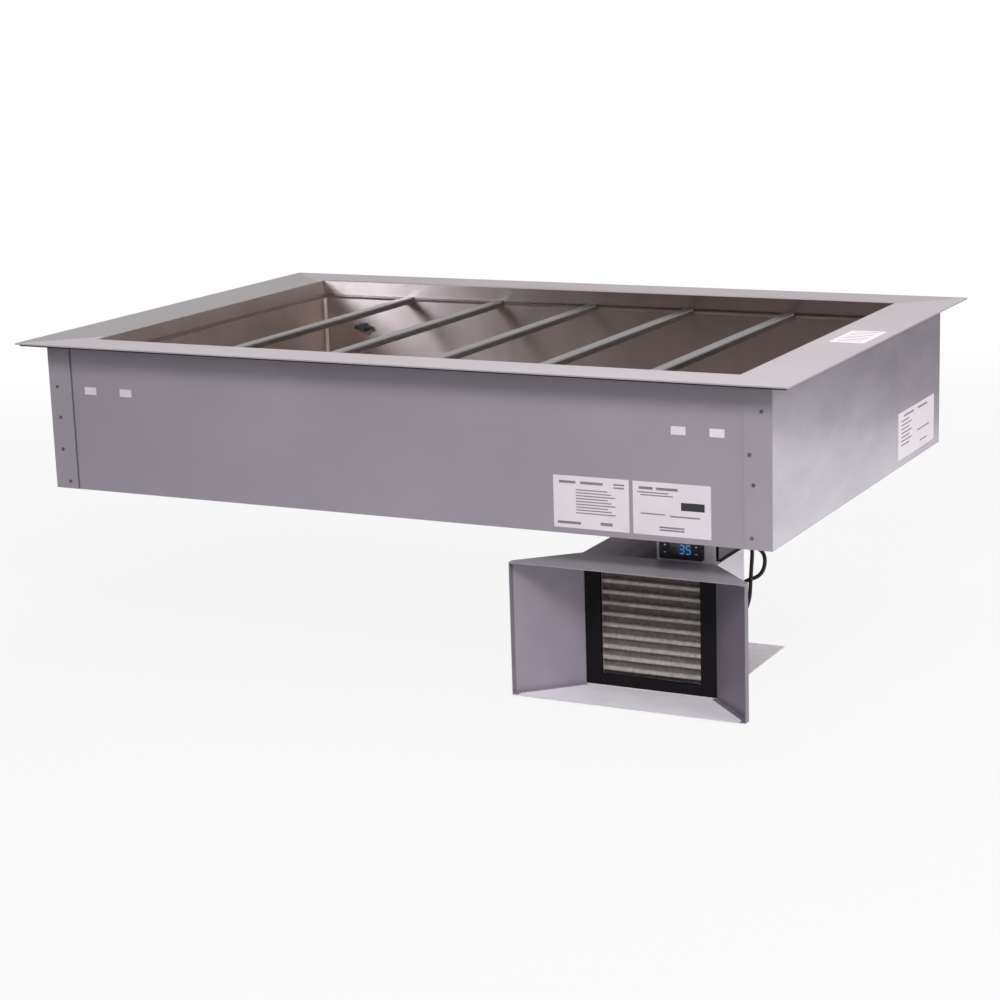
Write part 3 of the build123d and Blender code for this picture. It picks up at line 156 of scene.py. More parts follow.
class Sheet:
    """The node tree of one material or of the world."""

    def __init__(self, owner):
        owner.use_nodes = True
        self.tree = owner.node_tree
        self.tree.nodes.clear()

    def add(self, kind, settings=None, sockets=None, out=0):
        """One node: its settings first, then the values or links of its sockets. Gives one of its outputs."""
        node = self.tree.nodes.new(kind)
        for key, value in (settings or {}).items():
            setattr(node, key, value)
        for key, value in (sockets or {}).items():
            if isinstance(value, Flow):
                self.tree.links.new(value.socket, node.inputs[key])
            else:
                node.inputs[key].default_value = value
        return Flow(self, node.outputs[out]) if node.outputs else None

    def place(self):
        return self.add("ShaderNodeTexCoord", out="Object")

    def axes(self, vector=None):
        split = self.add("ShaderNodeSeparateXYZ", None, {"Vector": vector or self.place()})
        return [Flow(self, split.socket.node.outputs[axis]) for axis in "XYZ"]

    def noise(self, scale, vector, detail=3.0, roughness=0.5):
        return self.add(
            "ShaderNodeTexNoise",
            None,
            {"Vector": vector, "Scale": scale, "Detail": detail, "Roughness": roughness},
        )

    def grain(self, scale, vector, detail=2.0, roughness=0.5):
        """Noise with a scale of its own along each axis, such as brush marks."""
        stretched = self.add("ShaderNodeMapping", None, {"Vector": vector, "Scale": scale})
        return self.noise(1.0, stretched, detail, roughness)

    def mix(self, mask, first, second):
        """From the first colour to the second one as the mask goes from 0 to 1."""
        return self.add("ShaderNodeMix", {"data_type": "RGBA"}, {0: mask, 6: first, 7: second}, out=2)

    def mix_shaders(self, mask, first, second):
        return self.add("ShaderNodeMixShader", None, {0: mask, 1: first, 2: second})

    def bump(self, height, strength, distance=BRUSH_DEPTH):
        return self.add(
            "ShaderNodeBump", None, {"Height": height, "Strength": strength, "Distance": distance}
        )

    def surface(self, sockets):
        return self.add("ShaderNodeBsdfPrincipled", None, sockets)


def shaded(name, build):
    """A material whose shader the build function makes."""
    material = bpy.data.materials.new(name)
    sheet = Sheet(material)
    sheet.add("ShaderNodeOutputMaterial", None, {"Surface": build(sheet)})
    return material


def finish(name, build):
    """A material whose surface the build function describes as Principled sockets."""
    return shaded(name, lambda sheet: sheet.surface(build(sheet)))


def layered(name, lower, upper, level):
    """A material with one surface below a level and another above it."""

    def build(sheet):
        _, _, z = sheet.axes()
        mask = z.rise(level - HALF_SEAM, level + HALF_SEAM)
        return sheet.mix_shaders(mask, sheet.surface(lower(sheet)), sheet.surface(upper(sheet)))

    return shaded(name, build)


# Finishes

def brushed(name, pale, dark, grain, metallic, roughness):
    """Satin sheet metal. Grain is the stretch of the brush marks: small along them, large across."""

    def build(sheet):
        place = sheet.place()
        fine = sheet.grain(tuple(1600 * g for g in grain), place)
        broad = sheet.grain(tuple(90 * g for g in grain), place, 3.0)
        cloud = sheet.noise(2.6, place, 4.0)
        tone = (broad * 0.45 + cloud * 0.55).full()
        return {
            "Base Color": sheet.mix(tone, paint(*dark), paint(*pale)),
            "Metallic": metallic,
            "Roughness": roughness + cloud.swing(0.10) + fine.swing(0.08),
            "Normal": sheet.bump(fine, 0.08),
        }

    return finish(name, build)


def front_finish():
    """Front of the case: even satin steel, with painted shade along the seam by the left corner strip and a
    painted shadow just under the flange.
    """
    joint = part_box("case_left_panel")[1].x

    def build(sheet):
        place = sheet.place()
        x, _, z = sheet.axes(place)
        fine = sheet.grain((20.0, 1600.0, 1600.0), place)
        cloud = sheet.noise(3.2, place, 4.0)
        tone = (fine * 0.3 + cloud * 0.7).full()
        steel = sheet.mix(tone, paint(166, 159, 171), paint(174, 166, 178))
        # Painted shade: the colour darkens along the seam with the left corner strip and just under the
        # flange, where shade falls.
        seam_painted_shade = (1 - (x - joint).rise(0.0012, 0.0042)) * 0.8
        flange_painted_shadow = z.rise(-0.008, 0.004) * 0.5
        return {
            "Base Color": sheet.mix(seam_painted_shade.most(flange_painted_shadow), steel, paint(66, 58, 66)),
            "Metallic": 0.3,
            "Roughness": 0.5 + cloud.swing(0.10),
            "Normal": sheet.bump(fine, 0.06),
        }

    return finish("satin_front", build)


def end_finish():
    """Ends of the case: shinier steel than the front, smeared by wiping. Their corner strips are dull, with a
    painted shadow just under the flange, deeper on the left end.
    """
    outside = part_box("case_right_panel")[1].x

    def build(sheet):
        place = sheet.place()
        x, _, z = sheet.axes(place)
        fine = sheet.grain((1600.0, 20.0, 1600.0), place)
        cloud = sheet.noise(3.4, place, 4.0)
        smear = sheet.grain((7.0, 5.0, 14.0), place, 4.0, 0.6)
        face = (abs(x) - outside).above(-0.0006)
        dull = sheet.mix(cloud.full(), paint(169, 162, 172), paint(177, 170, 179))
        bright = sheet.mix(smear.full(), paint(192, 185, 196), paint(208, 201, 211))
        # Painted shadow: the corner strips darken just under the flange, more on the left end.
        strip_painted_shadow = z.rise(-0.010, 0.0) * (0.5 + x.below(0.0) * 0.35)
        return {
            "Base Color": sheet.mix(face, sheet.mix(strip_painted_shadow, dull, paint(52, 46, 52)), bright),
            "Metallic": 0.3 + face * 0.25,
            "Roughness": 0.5 - face * 0.26 + smear.swing(0.12),
            "Normal": sheet.bump(fine * 0.2 + smear, 0.10, SMEAR_DEPTH),
        }

    return finish("satin_end", build)


def wall_surface(sheet):
    """Bright basin steel brushed level, so that what it mirrors is drawn out up and down the walls."""
    place = sheet.place()
    _, _, z = sheet.axes(place)
    brush = sheet.grain((4.0, 4.0, 700.0), place)
    cloud = sheet.noise(5.0, place, 4.0)
    drop = sheet.grain((60.0, 60.0, 2.0), place, 3.0)
    tone = (cloud * 0.6 + drop * 0.4).full()
    steel = sheet.mix(tone, paint(172, 160, 156), paint(188, 177, 173))
    # Painted shade: the band of the ledge takes a darker colour than the wall steel.
    ledge_painted_shade = z.below(LEDGE_TOP) * z.above(LEDGE_UNDERSIDE)
    return {
        "Base Color": sheet.mix(ledge_painted_shade, steel, paint(118, 108, 105)),
        "Metallic": 1.0,
        "Roughness": 0.24 + cloud.swing(0.05),
        "Anisotropic": 1.0,
        "Anisotropic Rotation": 0.25,
        "Normal": sheet.bump(brush, 0.12),
    }


def floor_surface(sheet):
    """The basin's floor, brushed along its length and dulled by use."""
    place = sheet.place()
    brush = sheet.grain((8.0, 900.0, 900.0), place)
    cloud = sheet.noise(4.0, place, 5.0, 0.6)
    tone = (brush * 0.35 + cloud * 0.65).full()
    return {
        "Base Color": sheet.mix(tone, paint(146, 137, 133), paint(168, 158, 154)),
        "Metallic": 0.85,
        "Roughness": 0.60 + cloud.swing(0.16),
        "Normal": sheet.bump(brush, 0.10),
    }


def flange_surface(sheet):
    """Each leg of the flange is brushed along its length, and the legs meet in mitred, ground welds."""
    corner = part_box("flange_rim")[1]
    place = sheet.place()
    x, y, _ = sheet.axes(place)
    mitre = abs(x) - abs(y) - (corner.x - corner.y)
    side_leg = mitre.rise(-0.0006, 0.0006)
    weld = 1 - abs(mitre).rise(0.0004, 0.0022)
    along_x = sheet.grain((6.0, 1500.0, 1500.0), place)
    along_y = sheet.grain((1500.0, 6.0, 1500.0), place)
    fine = along_x + (along_y - along_x) * side_leg
    cloud = sheet.noise(3.0, place, 4.0)
    tone = (fine * 0.35 + cloud * 0.65).full()
    # Painted shade: the left leg and the rear leg take darker copies of the flange steel's colour than the
    # front and right legs.
    left = x.below(0.0) * side_leg
    rear_leg_painted_shade = y.above(0.0) * (1 - side_leg)
    near = sheet.mix(rear_leg_painted_shade, paint(186, 179, 183), paint(174, 167, 170))
    pale = sheet.mix(left, near, paint(158, 155, 156))
    dark = sheet.mix(0.12, pale, paint(90, 88, 90))
    colour = sheet.mix(tone, dark, pale)
    return {
        "Base Color": sheet.mix(weld * 0.25, colour, paint(150, 145, 149)),
        "Metallic": 0.5,
        "Roughness": 0.62 + cloud.swing(0.08) + weld * 0.10,
        "Normal": sheet.bump(fine, 0.06),
    }


def galvanised(name, pale, dark, metallic):
    """Zinc-coated sheet with its spangle."""

    def build(sheet):
        place = sheet.place()
        spangle = sheet.add(
            "ShaderNodeTexVoronoi", None, {"Vector": place, "Scale": 190.0, "Randomness": 1.0}, out="Color"
        )
        tone = sheet.add("ShaderNodeSeparateColor", None, {"Color": spangle})
        cloud = sheet.noise(9.0, place, 4.0)
        mask = (tone * 0.5 + cloud * 0.5).rise(0.15, 0.85)
        return {
            "Base Color": sheet.mix(mask, paint(*dark), paint(*pale)),
            "Metallic": metallic,
            "Roughness": 0.46 + tone.swing(0.14),
            "Normal": sheet.bump(tone, 0.05),
        }

    return finish(name, build)


def housing_finish():
    """Zinc-coated condenser housing whose top is dull with dust, and painted dark as painted shade under the
    case, darker towards the controller as a painted shadow.
    """
    low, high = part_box("condenser_housing")

    def build(sheet):
        place = sheet.place()
        x, _, z = sheet.axes(place)
        cloud = sheet.noise(9.0, place, 4.0)
        drawn = sheet.grain((46.0, 3.0, 3.0), place, 3.0)
        zinc = sheet.mix(cloud.full(), paint(208, 202, 210), paint(222, 216, 223))
        # Painted shade: the top face takes a dark colour, darkest towards the controller and streaked across,
        # for the shadow under the case and of the controller's box; its lower metal and higher roughness are
        # dust.
        dust = (z - high.z).above(-0.0004)
        shade = (x - low.x).rise(0.0, 0.125) * 0.8 + drawn.swing(0.7)
        dull = sheet.mix(shade, paint(196, 188, 196), paint(56, 50, 56))
        return {
            "Base Color": sheet.mix(dust, zinc, dull),
            "Metallic": 0.8 - dust * 0.6,
            "Roughness": 0.46 + dust * 0.22 + cloud.swing(0.14),
            "Normal": sheet.bump(cloud, 0.05),
        }

    return finish("galvanised_housing", build)


def coated(name, pale, dark, scale, roughness, rough_swing, bump, metallic=0.0, coat=0.0, gloss=0.5):
    """Paint, plastic or rubber with a fine uneven skin."""

    def build(sheet):
        place = sheet.place()
        skin = sheet.noise(scale, place)
        cloud = sheet.noise(14.0, place)
        return {
            "Base Color": sheet.mix((cloud * 0.7 + skin * 0.3).full(), paint(*dark), paint(*pale)),
            "Metallic": metallic,
            "Roughness": roughness + cloud.swing(rough_swing),
            "Coat Weight": coat,
            "Specular IOR Level": gloss,
            "Normal": sheet.bump(skin, bump, SKIN_DEPTH),
        }

    return finish(name, build)


def copper_finish():
    """Drawn copper tube with brown stains."""

    def build(sheet):
        place = sheet.place()
        drawn = sheet.noise(60.0, place, 4.0)
        stain = sheet.noise(22.0, place, 5.0).rise(0.5, 0.72)
        return {
            "Base Color": sheet.mix(stain, paint(205, 138, 104), paint(140, 88, 66)),
            "Metallic": 1.0,
            "Roughness": 0.26 + stain * 0.22,
            "Normal": sheet.bump(drawn, 0.06),
        }

    return finish("copper", build)


def fin_finish():
    """Bare aluminium fins, dusty, with painted shade darkening them down in the grooves."""
    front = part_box("condenser_fins")[0].y

    def build(sheet):
        place = sheet.place()
        _, y, _ = sheet.axes(place)
        # Painted shade: the colour darkens with depth behind the fins' front edges, down in the grooves.
        groove_shade = (y - front).rise(0.0004, 0.0036)
        dust = sheet.noise(160.0, place, 4.0).full()
        bright = sheet.mix(dust, paint(208, 203, 198), paint(236, 232, 227))
        dark = sheet.mix(dust, paint(122, 111, 106), paint(150, 138, 131))
        return {
            "Base Color": sheet.mix(groove_shade, bright, dark),
            "Metallic": 0.3,
            "Roughness": 0.45 + groove_shade * 0.2,
        }

    return finish("fin_aluminium", build)


def display_finish():
    """Smoked window over the display, a little bluer where the light behind it spreads."""
    low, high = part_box("controller_lens")
    middle = (low + high) / 2
    glow_wide, glow_tall = 0.016, 0.0095

    def build(sheet):
        x, _, z = sheet.axes()
        across = (x - middle.x - DIGIT_SHIFT) / glow_wide
        up = (z - middle.z) / glow_tall
        glow = 1 - (across * across + up * up).rise(0.1, 1.3)
        return {
            "Base Color": sheet.mix(glow, paint(10, 16, 24), paint(12, 32, 54)),
            "Roughness": 0.16,
            "Coat Weight": 0.4,
            "Emission Color": sheet.mix(glow, paint(0, 0, 0), paint(10, 46, 84)),
            "Emission Strength": 0.5,
        }

    return finish("display_window", build)


def glowing(name, pale, dark, strength):
    """Lit marks whose light is a little uneven."""

    def build(sheet):
        patch = sheet.noise(700.0, sheet.place(), 2.0).full()
        colour = sheet.mix(patch, paint(*dark), paint(*pale))
        return {
            "Base Color": colour,
            "Emission Color": colour,
            "Emission Strength": strength,
            "Roughness": 0.4,
        }

    return finish(name, build)


ALL_WAYS = (1.0, 1.0, 1.0)
ALONG_BAR = (1.0, 0.012, 1.0)
COARSE = (0.3, 0.3, 0.3)
satin_front = front_finish()
satin_end = end_finish()
rivet_steel = brushed("rivet_steel", (126, 120, 128), (98, 93, 99), ALL_WAYS, 0.6, 0.4)
basin_steel = layered("basin_steel", floor_surface, wall_surface, FLOOR_TOP)
bar_steel = brushed("bar_steel", (124, 121, 120), (105, 103, 102), ALONG_BAR, 0.95, 0.34)
# The shroud's panels are one steel in lit and shaded copies: painted light makes the top and bottom panels
# paler, painted shade makes the right panel darker; the bottom panel is also less metallic and rougher.
shroud_steel = brushed("shroud_steel", (162, 155, 167), (152, 145, 157), COARSE, 0.4, 0.46)
shroud_top_painted_light = brushed("shroud_top_painted_light", (176, 169, 178), (166, 159, 168), COARSE, 0.4, 0.46)
shroud_right_painted_shade = brushed("shroud_right_painted_shade", (144, 136, 150), (134, 126, 140), COARSE, 0.4, 0.46)
shroud_bottom_painted_light = brushed("shroud_bottom_painted_light", (246, 242, 249), (236, 232, 240), COARSE, 0.1, 0.55)
flange_steel = layered("flange_steel", wall_surface, flange_surface, SKIRT_TOP)
zinc = galvanised("galvanised", (214, 211, 214), (184, 181, 185), 0.4)
# The tray is shinier zinc than the rest, and its paler colour is painted light on a part that sits in the
# shade under the case.
tray_zinc_painted_light = galvanised("galvanised_tray_painted_light", (242, 239, 242), (216, 213, 217), 0.85)
plate_zinc = galvanised("galvanised_plate", (222, 216, 223), (208, 202, 210), 0.8)
housing_zinc = housing_finish()
# The bracket's near-white colour is painted light on a part that stands in the shade under the case.
bracket_white_painted_light = coated("bracket_white_painted_light", (240, 236, 241), (230, 226, 231), 500.0, 0.45, 0.10, 0.05)
frame_black = coated("frame_black", (24, 21, 25), (16, 14, 17), 420.0, 0.55, 0.14, 0.1, gloss=0.12)
shell_black = coated("shell_black", (34, 34, 36), (20, 20, 22), 260.0, 0.30, 0.12, 0.10, coat=0.2)
motor_grey = coated("motor_grey", (62, 63, 66), (44, 45, 48), 300.0, 0.46, 0.14, 0.14)
fan_grey = coated("fan_aluminium", (176, 177, 180), (150, 151, 155), 200.0, 0.4, 0.12, 0.06, metallic=0.9)
rubber_black = coated("rubber_black", (24, 24, 25), (15, 15, 16), 700.0, 0.62, 0.16, 0.22)
case_plastic = coated("controller_plastic", (26, 36, 46), (16, 24, 32), 900.0, 0.36, 0.10, 0.10)
key_plastic = coated("key_plastic", (34, 42, 50), (24, 30, 37), 900.0, 0.42, 0.10, 0.12)
# Painted shade: the electrical box is coloured dark grey for the shade beside the controller.
box_grey_painted_shade = coated("box_grey_painted_shade", (92, 87, 95), (78, 73, 81), 300.0, 0.5, 0.12, 0.08)
dark_plastic = coated("dark_plastic", (40, 40, 42), (28, 28, 30), 800.0, 0.48, 0.12, 0.16)
break_grey = coated("break_grey", (104, 95, 93), (90, 81, 79), 500.0, 0.5, 0.12, 0.12)
foam_buff = coated("foam_buff", (226, 208, 160), (204, 184, 134), 340.0, 0.9, 0.1, 0.7)
label_film = coated("label_film", (249, 242, 249), (241, 234, 241), 600.0, 0.4, 0.10, 0.04)
label_ink = coated("label_ink", (150, 146, 152), (118, 114, 120), 600.0, 0.5, 0.10, 0.02)
label_block = coated("label_block", (74, 71, 76), (44, 42, 46), 600.0, 0.5, 0.10, 0.02)
copper = copper_finish()
fin_aluminium = fin_finish()
display_window = display_finish()
digit_blue = glowing("digit_blue", (80, 158, 210), (48, 122, 182), 0.85)
# The printed key marks glow faintly: painted light.
mark_white_painted_glow = glowing("mark_white_painted_glow", (206, 212, 218), (180, 186, 194), 0.3)

dressing = {
    satin_front: ["case_front_panel"],
    satin_end: ["case_left_panel", "case_right_panel"],
    rivet_steel: ["case_rivets"],
    basin_steel: ["well_liner", "drain_fitting", "drain_strainer"],
    bar_steel: [f"divider_bar_{number}" for number in range(1, 6)],
    shroud_steel: ["shroud_left_panel"],
    shroud_top_painted_light: ["shroud_top_panel"],
    shroud_right_painted_shade: ["shroud_right_panel"],
    shroud_bottom_painted_light: ["shroud_bottom_panel"],
    flange_steel: ["flange_rim"],
    zinc: ["case_back_panel", "case_bottom_panel", "rear_hangers", "unit_bolts", "fan_pedestal"],
    tray_zinc_painted_light: ["unit_tray"],
    plate_zinc: ["condenser_end_plates", "fan_orifice"],
    housing_zinc: ["condenser_housing"],
    bracket_white_painted_light: ["controller_bracket"],
    box_grey_painted_shade: ["electrical_box"],
    frame_black: ["condenser_frame"],
    shell_black: ["compressor_shell"],
    motor_grey: ["fan_motor", "sensor_clip"],
    fan_grey: ["fan_blade"],
    rubber_black: ["flange_seal", "compressor_grommets"],
    case_plastic: ["controller_case"],
    key_plastic: [f"controller_key_{number}" for number in range(1, 5)],
    dark_plastic: ["terminal_cover", "cable_glands", "sensor_probe", "drain_locknut"],
    break_grey: ["thermal_breaker"],
    foam_buff: ["foam_insulation"],
    label_film: ["blank_labels", "foam_port_covers"],
    copper: ["condenser_tube", "evaporator_coil", "capillary_tube", "discharge_line", "suction_line",
             "filter_drier"],
    display_window: ["controller_lens"],
}
for material, names in dressing.items():
    for name in names:
        nodes[name].data.materials.clear()
        nodes[name].data.materials.append(material)


# New pieces

def shaped(name, shape, material):
    """Turn a bmesh into a finished object."""
    mesh = bpy.data.meshes.new(name)
    shape.to_mesh(mesh)
    shape.free()
    mesh.materials.append(material)
    thing = bpy.data.objects.new(name, mesh)
    scene.collection.objects.link(thing)
    return thing


def piece(name, shape, material, body="well"):
    """Turn a bmesh into a finished object that rides on a body."""
    thing = shaped(name, shape, material)
    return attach(thing, body)


def slab(shape, low, high):
    """Add a box between two corners to a shape."""
    low, high = Vector(low), Vector(high)
    size = Matrix.Diagonal((*(high - low), 1.0))
    bmesh.ops.create_cube(shape, size=1.0, matrix=Matrix.Translation((low + high) / 2) @ size)


def only_verts(geometry):
    return [item for item in geometry if isinstance(item, bmesh.types.BMVert)]


def fin_pack():
    """Thin upright fins whose front edges bulge over each row of tube."""
    low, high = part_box("condenser_fins")
    pitch = (high.z - low.z) / FIN_ROWS
    gap = (high.x - low.x) / FIN_COUNT
    front = []
    for row in range(FIN_ROWS):
        base = low.z + row * pitch
        front += [(low.y + setback, base + share * pitch) for share, setback in FIN_EDGE]
    front.append((low.y + FIN_EDGE[0][1], high.z))
    outline = front + [(high.y, high.z), (high.y, low.z)]
    left = low.x + gap / 2 - FIN_THICKNESS / 2
    shape = bmesh.new()
    face = shape.faces.new([shape.verts.new((left, y, z)) for y, z in outline])
    face.normal_update()
    bmesh.ops.triangulate(shape, faces=[face])
    spread = bmesh.ops.extrude_face_region(shape, geom=shape.faces[:])["geom"]
    bmesh.ops.translate(shape, verts=only_verts(spread), vec=(FIN_THICKNESS, 0, 0))
    bmesh.ops.recalc_face_normals(shape, faces=shape.faces)
    fin = shape.verts[:] + shape.edges[:] + shape.faces[:]
    for number in range(1, FIN_COUNT):
        copy = bmesh.ops.duplicate(shape, geom=fin)["geom"]
        bmesh.ops.translate(shape, verts=only_verts(copy), vec=(number * gap, 0, 0))
    return piece("fin_pack", shape, fin_aluminium)


fins = fin_pack()
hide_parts("condenser_fins")


def cable(name, points, node):
    """A round black cable on one smooth line. Its points are in millimetres."""
    line = bpy.data.curves.new(name, "CURVE")
    line.dimensions = "3D"
    line.bevel_depth = 0.003
    line.bevel_resolution = 5
    line.resolution_u = 10
    line.use_fill_caps = True
    spline = line.splines.new("NURBS")
    spline.points.add(len(points) - 1)
    for point, place in zip(spline.points, points):
        point.co = (*[part / 1000 for part in place], 1.0)
    spline.order_u = 3
    spline.use_endpoint_u = True
    line.materials.append(rubber_black)
    thing = bpy.data.objects.new(name, line)
    scene.collection.objects.link(thing)
    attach(thing, "well")
    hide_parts(node)


cable("compressor_lead", [
    (481.0, -199.0, -261.8), (481.0, -163.0, -261.8), (490.0, -148.0, -292.0), (491.0, -160.0, -335.0),
    (490.0, -164.0, -384.0), (466.0, -170.0, -418.0), (430.0, -158.0, -428.8), (430.0, -118.0, -428.8),
], "compressor_cable")
cable("fan_lead", [
    (462.0, -199.0, -261.8), (462.0, -146.0, -261.8), (474.0, -138.0, -296.0), (507.0, -138.0, -304.0),
    (505.0, -144.0, -340.0), (476.0, -154.0, -350.0), (464.0, -172.0, -364.0), (463.0, -207.3, -387.4),
    (424.0, -207.3, -387.4),
], "fan_cable")


def front_bar(shape, x, z, half, face, proud):
    """Add a thin bar to a face that looks to the front. Half is half its width and height."""
    wide, tall = half
    slab(shape, (x - wide, face - proud, z - tall), (x + wide, face + PRINT_SUNK, z + tall))


def display_digits(number):
    """Lit bars of a two-digit number, just proud of the display's window."""
    low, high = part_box("controller_lens")
    middle = (low + high) / 2
    bars = {"0": "abcdef", "1": "bc", "2": "abged", "3": "abgcd", "4": "fgbc", "5": "afgcd", "6": "afgedc",
            "7": "abc", "8": "abcdefg", "9": "abcdfg"}
    side, top, quarter = DIGIT_WIDE / 2, DIGIT_TALL / 2, DIGIT_TALL / 4
    places = {"a": (0, top), "g": (0, 0), "d": (0, -top), "f": (-side, quarter), "b": (side, quarter),
              "e": (-side, -quarter), "c": (side, -quarter)}
    level = (side - DIGIT_LINE * 0.6, DIGIT_LINE / 2)
    upright = (DIGIT_LINE / 2, quarter - DIGIT_LINE * 0.6)
    shape = bmesh.new()
    for step, digit in enumerate(number):
        for bar in bars[digit]:
            across, up = places[bar]
            x = middle.x + DIGIT_SHIFT + (step - 0.5) * DIGIT_PITCH + across + up * DIGIT_SLANT
            half = level if bar in "agd" else upright
            front_bar(shape, x, middle.z + up, half, low.y, DIGIT_PROUD)
    piece("display_digits", shape, digit_blue)


display_digits("35")


def key_mark(number):
    """A small white bar or cross printed on a key, given a faint glow that is painted light."""
    low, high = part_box(f"controller_key_{number}")
    middle = (low + high) / 2
    shape = bmesh.new()
    for half in [MARK_BAR, MARK_UPRIGHT] if number in CROSS_KEYS else [MARK_BAR]:
        front_bar(shape, middle.x, middle.z, half, low.y, MARK_PROUD)
    piece(f"key_mark_{number}", shape, mark_white_painted_glow, f"key_{number}")


for number in range(1, 5):
    key_mark(number)


# Printed rules on the labels

def ruled(shape, label, rows):
    """Flat printed bars on a label. Each row gives its ends, its height and its thickness as shares."""
    corner, along, up, out = [Vector(part) for part in label]
    for first, last, level, thick in rows:
        low = corner + along * first + up * (level - thick / 2) - out
        high = corner + along * last + up * (level + thick / 2) + out
        slab(shape, low, high)


def label_rules():
    """Plain ruled bars in place of print on the front, end and flange labels."""
    left_rows = [(0.08, 0.30, 0.88, 0.05), (0.36, 0.66, 0.88, 0.05), (0.80, 0.94, 0.89, 0.03),
                 (0.80, 0.94, 0.83, 0.03)]
    left_rows += [(0.30, 0.72 + 0.05 * (row % 3), 0.74 - 0.055 * row, 0.022) for row in range(9)]
    left_rows += [(0.05, 0.36, 0.10, 0.05), (0.62, 0.78, 0.12, 0.06)]
    right_rows = [(0.08, 0.26, 0.88, 0.05), (0.30, 0.58, 0.88, 0.05), (0.06, 0.46, 0.80, 0.022),
                  (0.10, 0.52, 0.75, 0.022), (0.10, 0.42, 0.40, 0.022), (0.48, 0.86, 0.38, 0.026),
                  (0.34, 0.66, 0.16, 0.03), (0.34, 0.66, 0.11, 0.03)]
    end_rows = [(0.14, 0.42, 0.90, 0.04), (0.54, 0.80, 0.90, 0.04)]
    end_rows += [(0.08, 0.30 + 0.06 * (row % 2), 0.80 - 0.085 * row, 0.03) for row in range(7)]
    end_rows += [(0.52, 0.86, 0.42, 0.03), (0.60, 0.80, 0.16, 0.03)]
    flange_rows = [(0.15, 0.85, 0.12 + 0.13 * row, 0.04) for row in range(7)]
    shape = bmesh.new()
    ruled(shape, LEFT_LABEL, left_rows)
    ruled(shape, RIGHT_LABEL, right_rows)
    ruled(shape, END_LABEL, end_rows)
    ruled(shape, FLANGE_LABEL, flange_rows)
    piece("label_rules", shape, label_ink)
    block = bmesh.new()
    ruled(block, RIGHT_LABEL, [(0.62, 0.92, 0.58, 0.15)])
    piece("label_block", block, label_block)


label_rules()


# Floor, light and camera

def floor_shader(sheet):
    """Pale and diffuse. The camera and polished metal see it white, with a trace of the object's shadow."""
    x, y, _ = sheet.axes()
    spread = x * x + y * y
    far = spread.rise(1.0, 9.0)
    edge = spread.rise(3.2, 4.8)
    colour = sheet.mix(edge, (0.45, 0.45, 0.46, 1.0), (0.25, 0.24, 0.26, 1.0))
    pale = sheet.add("ShaderNodeBsdfDiffuse", None, {"Color": colour})
    white = sheet.add("ShaderNodeEmission", None, {"Color": WHITE, "Strength": 1.0})
    seen = sheet.add("ShaderNodeLightPath", out="Is Camera Ray")
    mirrored = sheet.add("ShaderNodeLightPath", out="Is Glossy Ray")
    mask = seen.most(mirrored * (1 - edge)) * (0.9 + far * 0.1)
    return sheet.mix_shaders(mask, pale, white)


def studio_floor():
    """A wide pale disc just under the object."""
    shape = bmesh.new()
    bmesh.ops.create_circle(shape, cap_ends=True, segments=96, radius=STUDIO_FLOOR_RADIUS)
    bmesh.ops.translate(shape, verts=shape.verts, vec=(0, 0, STUDIO_FLOOR_LEVEL))
    floor = shaped("studio_floor", shape, shaded("floor_pale", floor_shader))


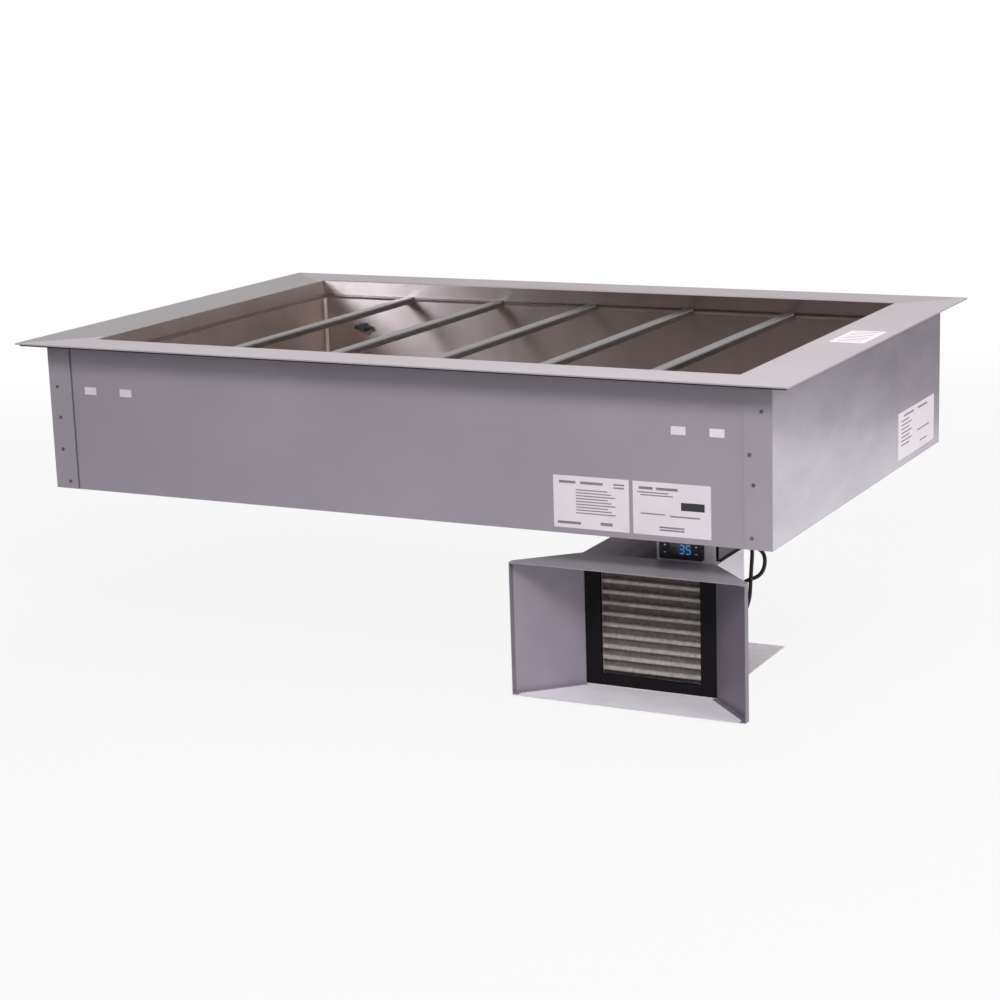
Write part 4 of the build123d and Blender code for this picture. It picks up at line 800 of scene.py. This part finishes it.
def studio_world():
    """White behind, to the right and overhead, with a dim warm room on the camera's side."""
    world = bpy.data.worlds.new("studio")
    scene.world = world
    sheet = Sheet(world)
    x, y, z = sheet.axes(sheet.add("ShaderNodeTexCoord", out="Generated"))
    behind = y.rise(-0.1, 0.3)
    above = z.rise(0.55, 0.85) * 0.8
    right = x.rise(0.2, 0.9) * 0.5
    mirrored = sheet.add("ShaderNodeLightPath", out="Is Glossy Ray")
    wall = behind.most(above * (1 - mirrored)).most(right)
    dim = sheet.mix(x.rise(-0.42, -0.30), (0.085, 0.066, 0.062, 1.0), (0.135, 0.112, 0.108, 1.0))
    room = sheet.mix(wall * (0.45 + mirrored * 0.55), dim, (0.94, 0.92, 0.94, 1.0))
    seen = sheet.add("ShaderNodeLightPath", out="Is Camera Ray")
    colour = sheet.mix(seen, room, WHITE)
    surface = sheet.add("ShaderNodeBackground", None, {"Color": colour, "Strength": 1.0})
    sheet.add("ShaderNodeOutputWorld", None, {"Surface": surface})


def softbox(name, place, target, size, power):
    """An area lamp that looks at a target."""
    lamp = bpy.data.lights.new(name, "AREA")
    lamp.shape = "RECTANGLE"
    lamp.size, lamp.size_y = size
    lamp.energy = power
    thing = bpy.data.objects.new(name, lamp)
    thing.location = place
    thing.rotation_euler = (Vector(target) - Vector(place)).to_track_quat("-Z", "Y").to_euler()
    scene.collection.objects.link(thing)
    return thing


def photo_camera():
    """The photograph's view, found from the flange, the case and the condensing unit."""
    yaw, pitch, roll = radians(-27.4193), radians(13.0765), radians(-1.8371)
    place = (1.7211, -3.3416, 0.5785)
    ahead = Vector((sin(yaw) * cos(pitch), cos(yaw) * cos(pitch), -sin(pitch)))
    right = Vector((cos(yaw), -sin(yaw), 0))
    down = ahead.cross(right)
    rolled_right = right * cos(roll) - down * sin(roll)
    rolled_down = right * sin(roll) + down * cos(roll)
    camera = bpy.data.cameras.new("photo_camera")
    camera.sensor_width = 36.0
    camera.lens = 84.105
    camera.clip_end = 200.0
    thing = bpy.data.objects.new("photo_camera", camera)
    turn = Matrix((rolled_right, -rolled_down, -ahead)).transposed()
    thing.matrix_world = Matrix.Translation(place) @ turn.to_4x4()
    scene.collection.objects.link(thing)
    scene.camera = thing


studio_floor()
studio_world()
softbox("key", (1.4, -2.7, 2.5), (0.1, -0.3, -0.1), (1.2, 1.0), 90.0)
softbox("overhead", (0.2, 0.7, 3.0), (0.1, 0.1, 0.0), (2.0, 1.6), 34.0)
softbox("right_fill", (3.2, -0.6, 0.9), (0.5, 0.0, -0.2), (1.6, 1.6), 40.0)
glint = softbox("left_glint", (-2.37, -2.61, 1.66), (-0.3, 0.3, -0.05), (0.42, 1.6), 62.0)
glint.data.color = (0.86, 0.90, 1.0)
glint.visible_diffuse = False
photo_camera()
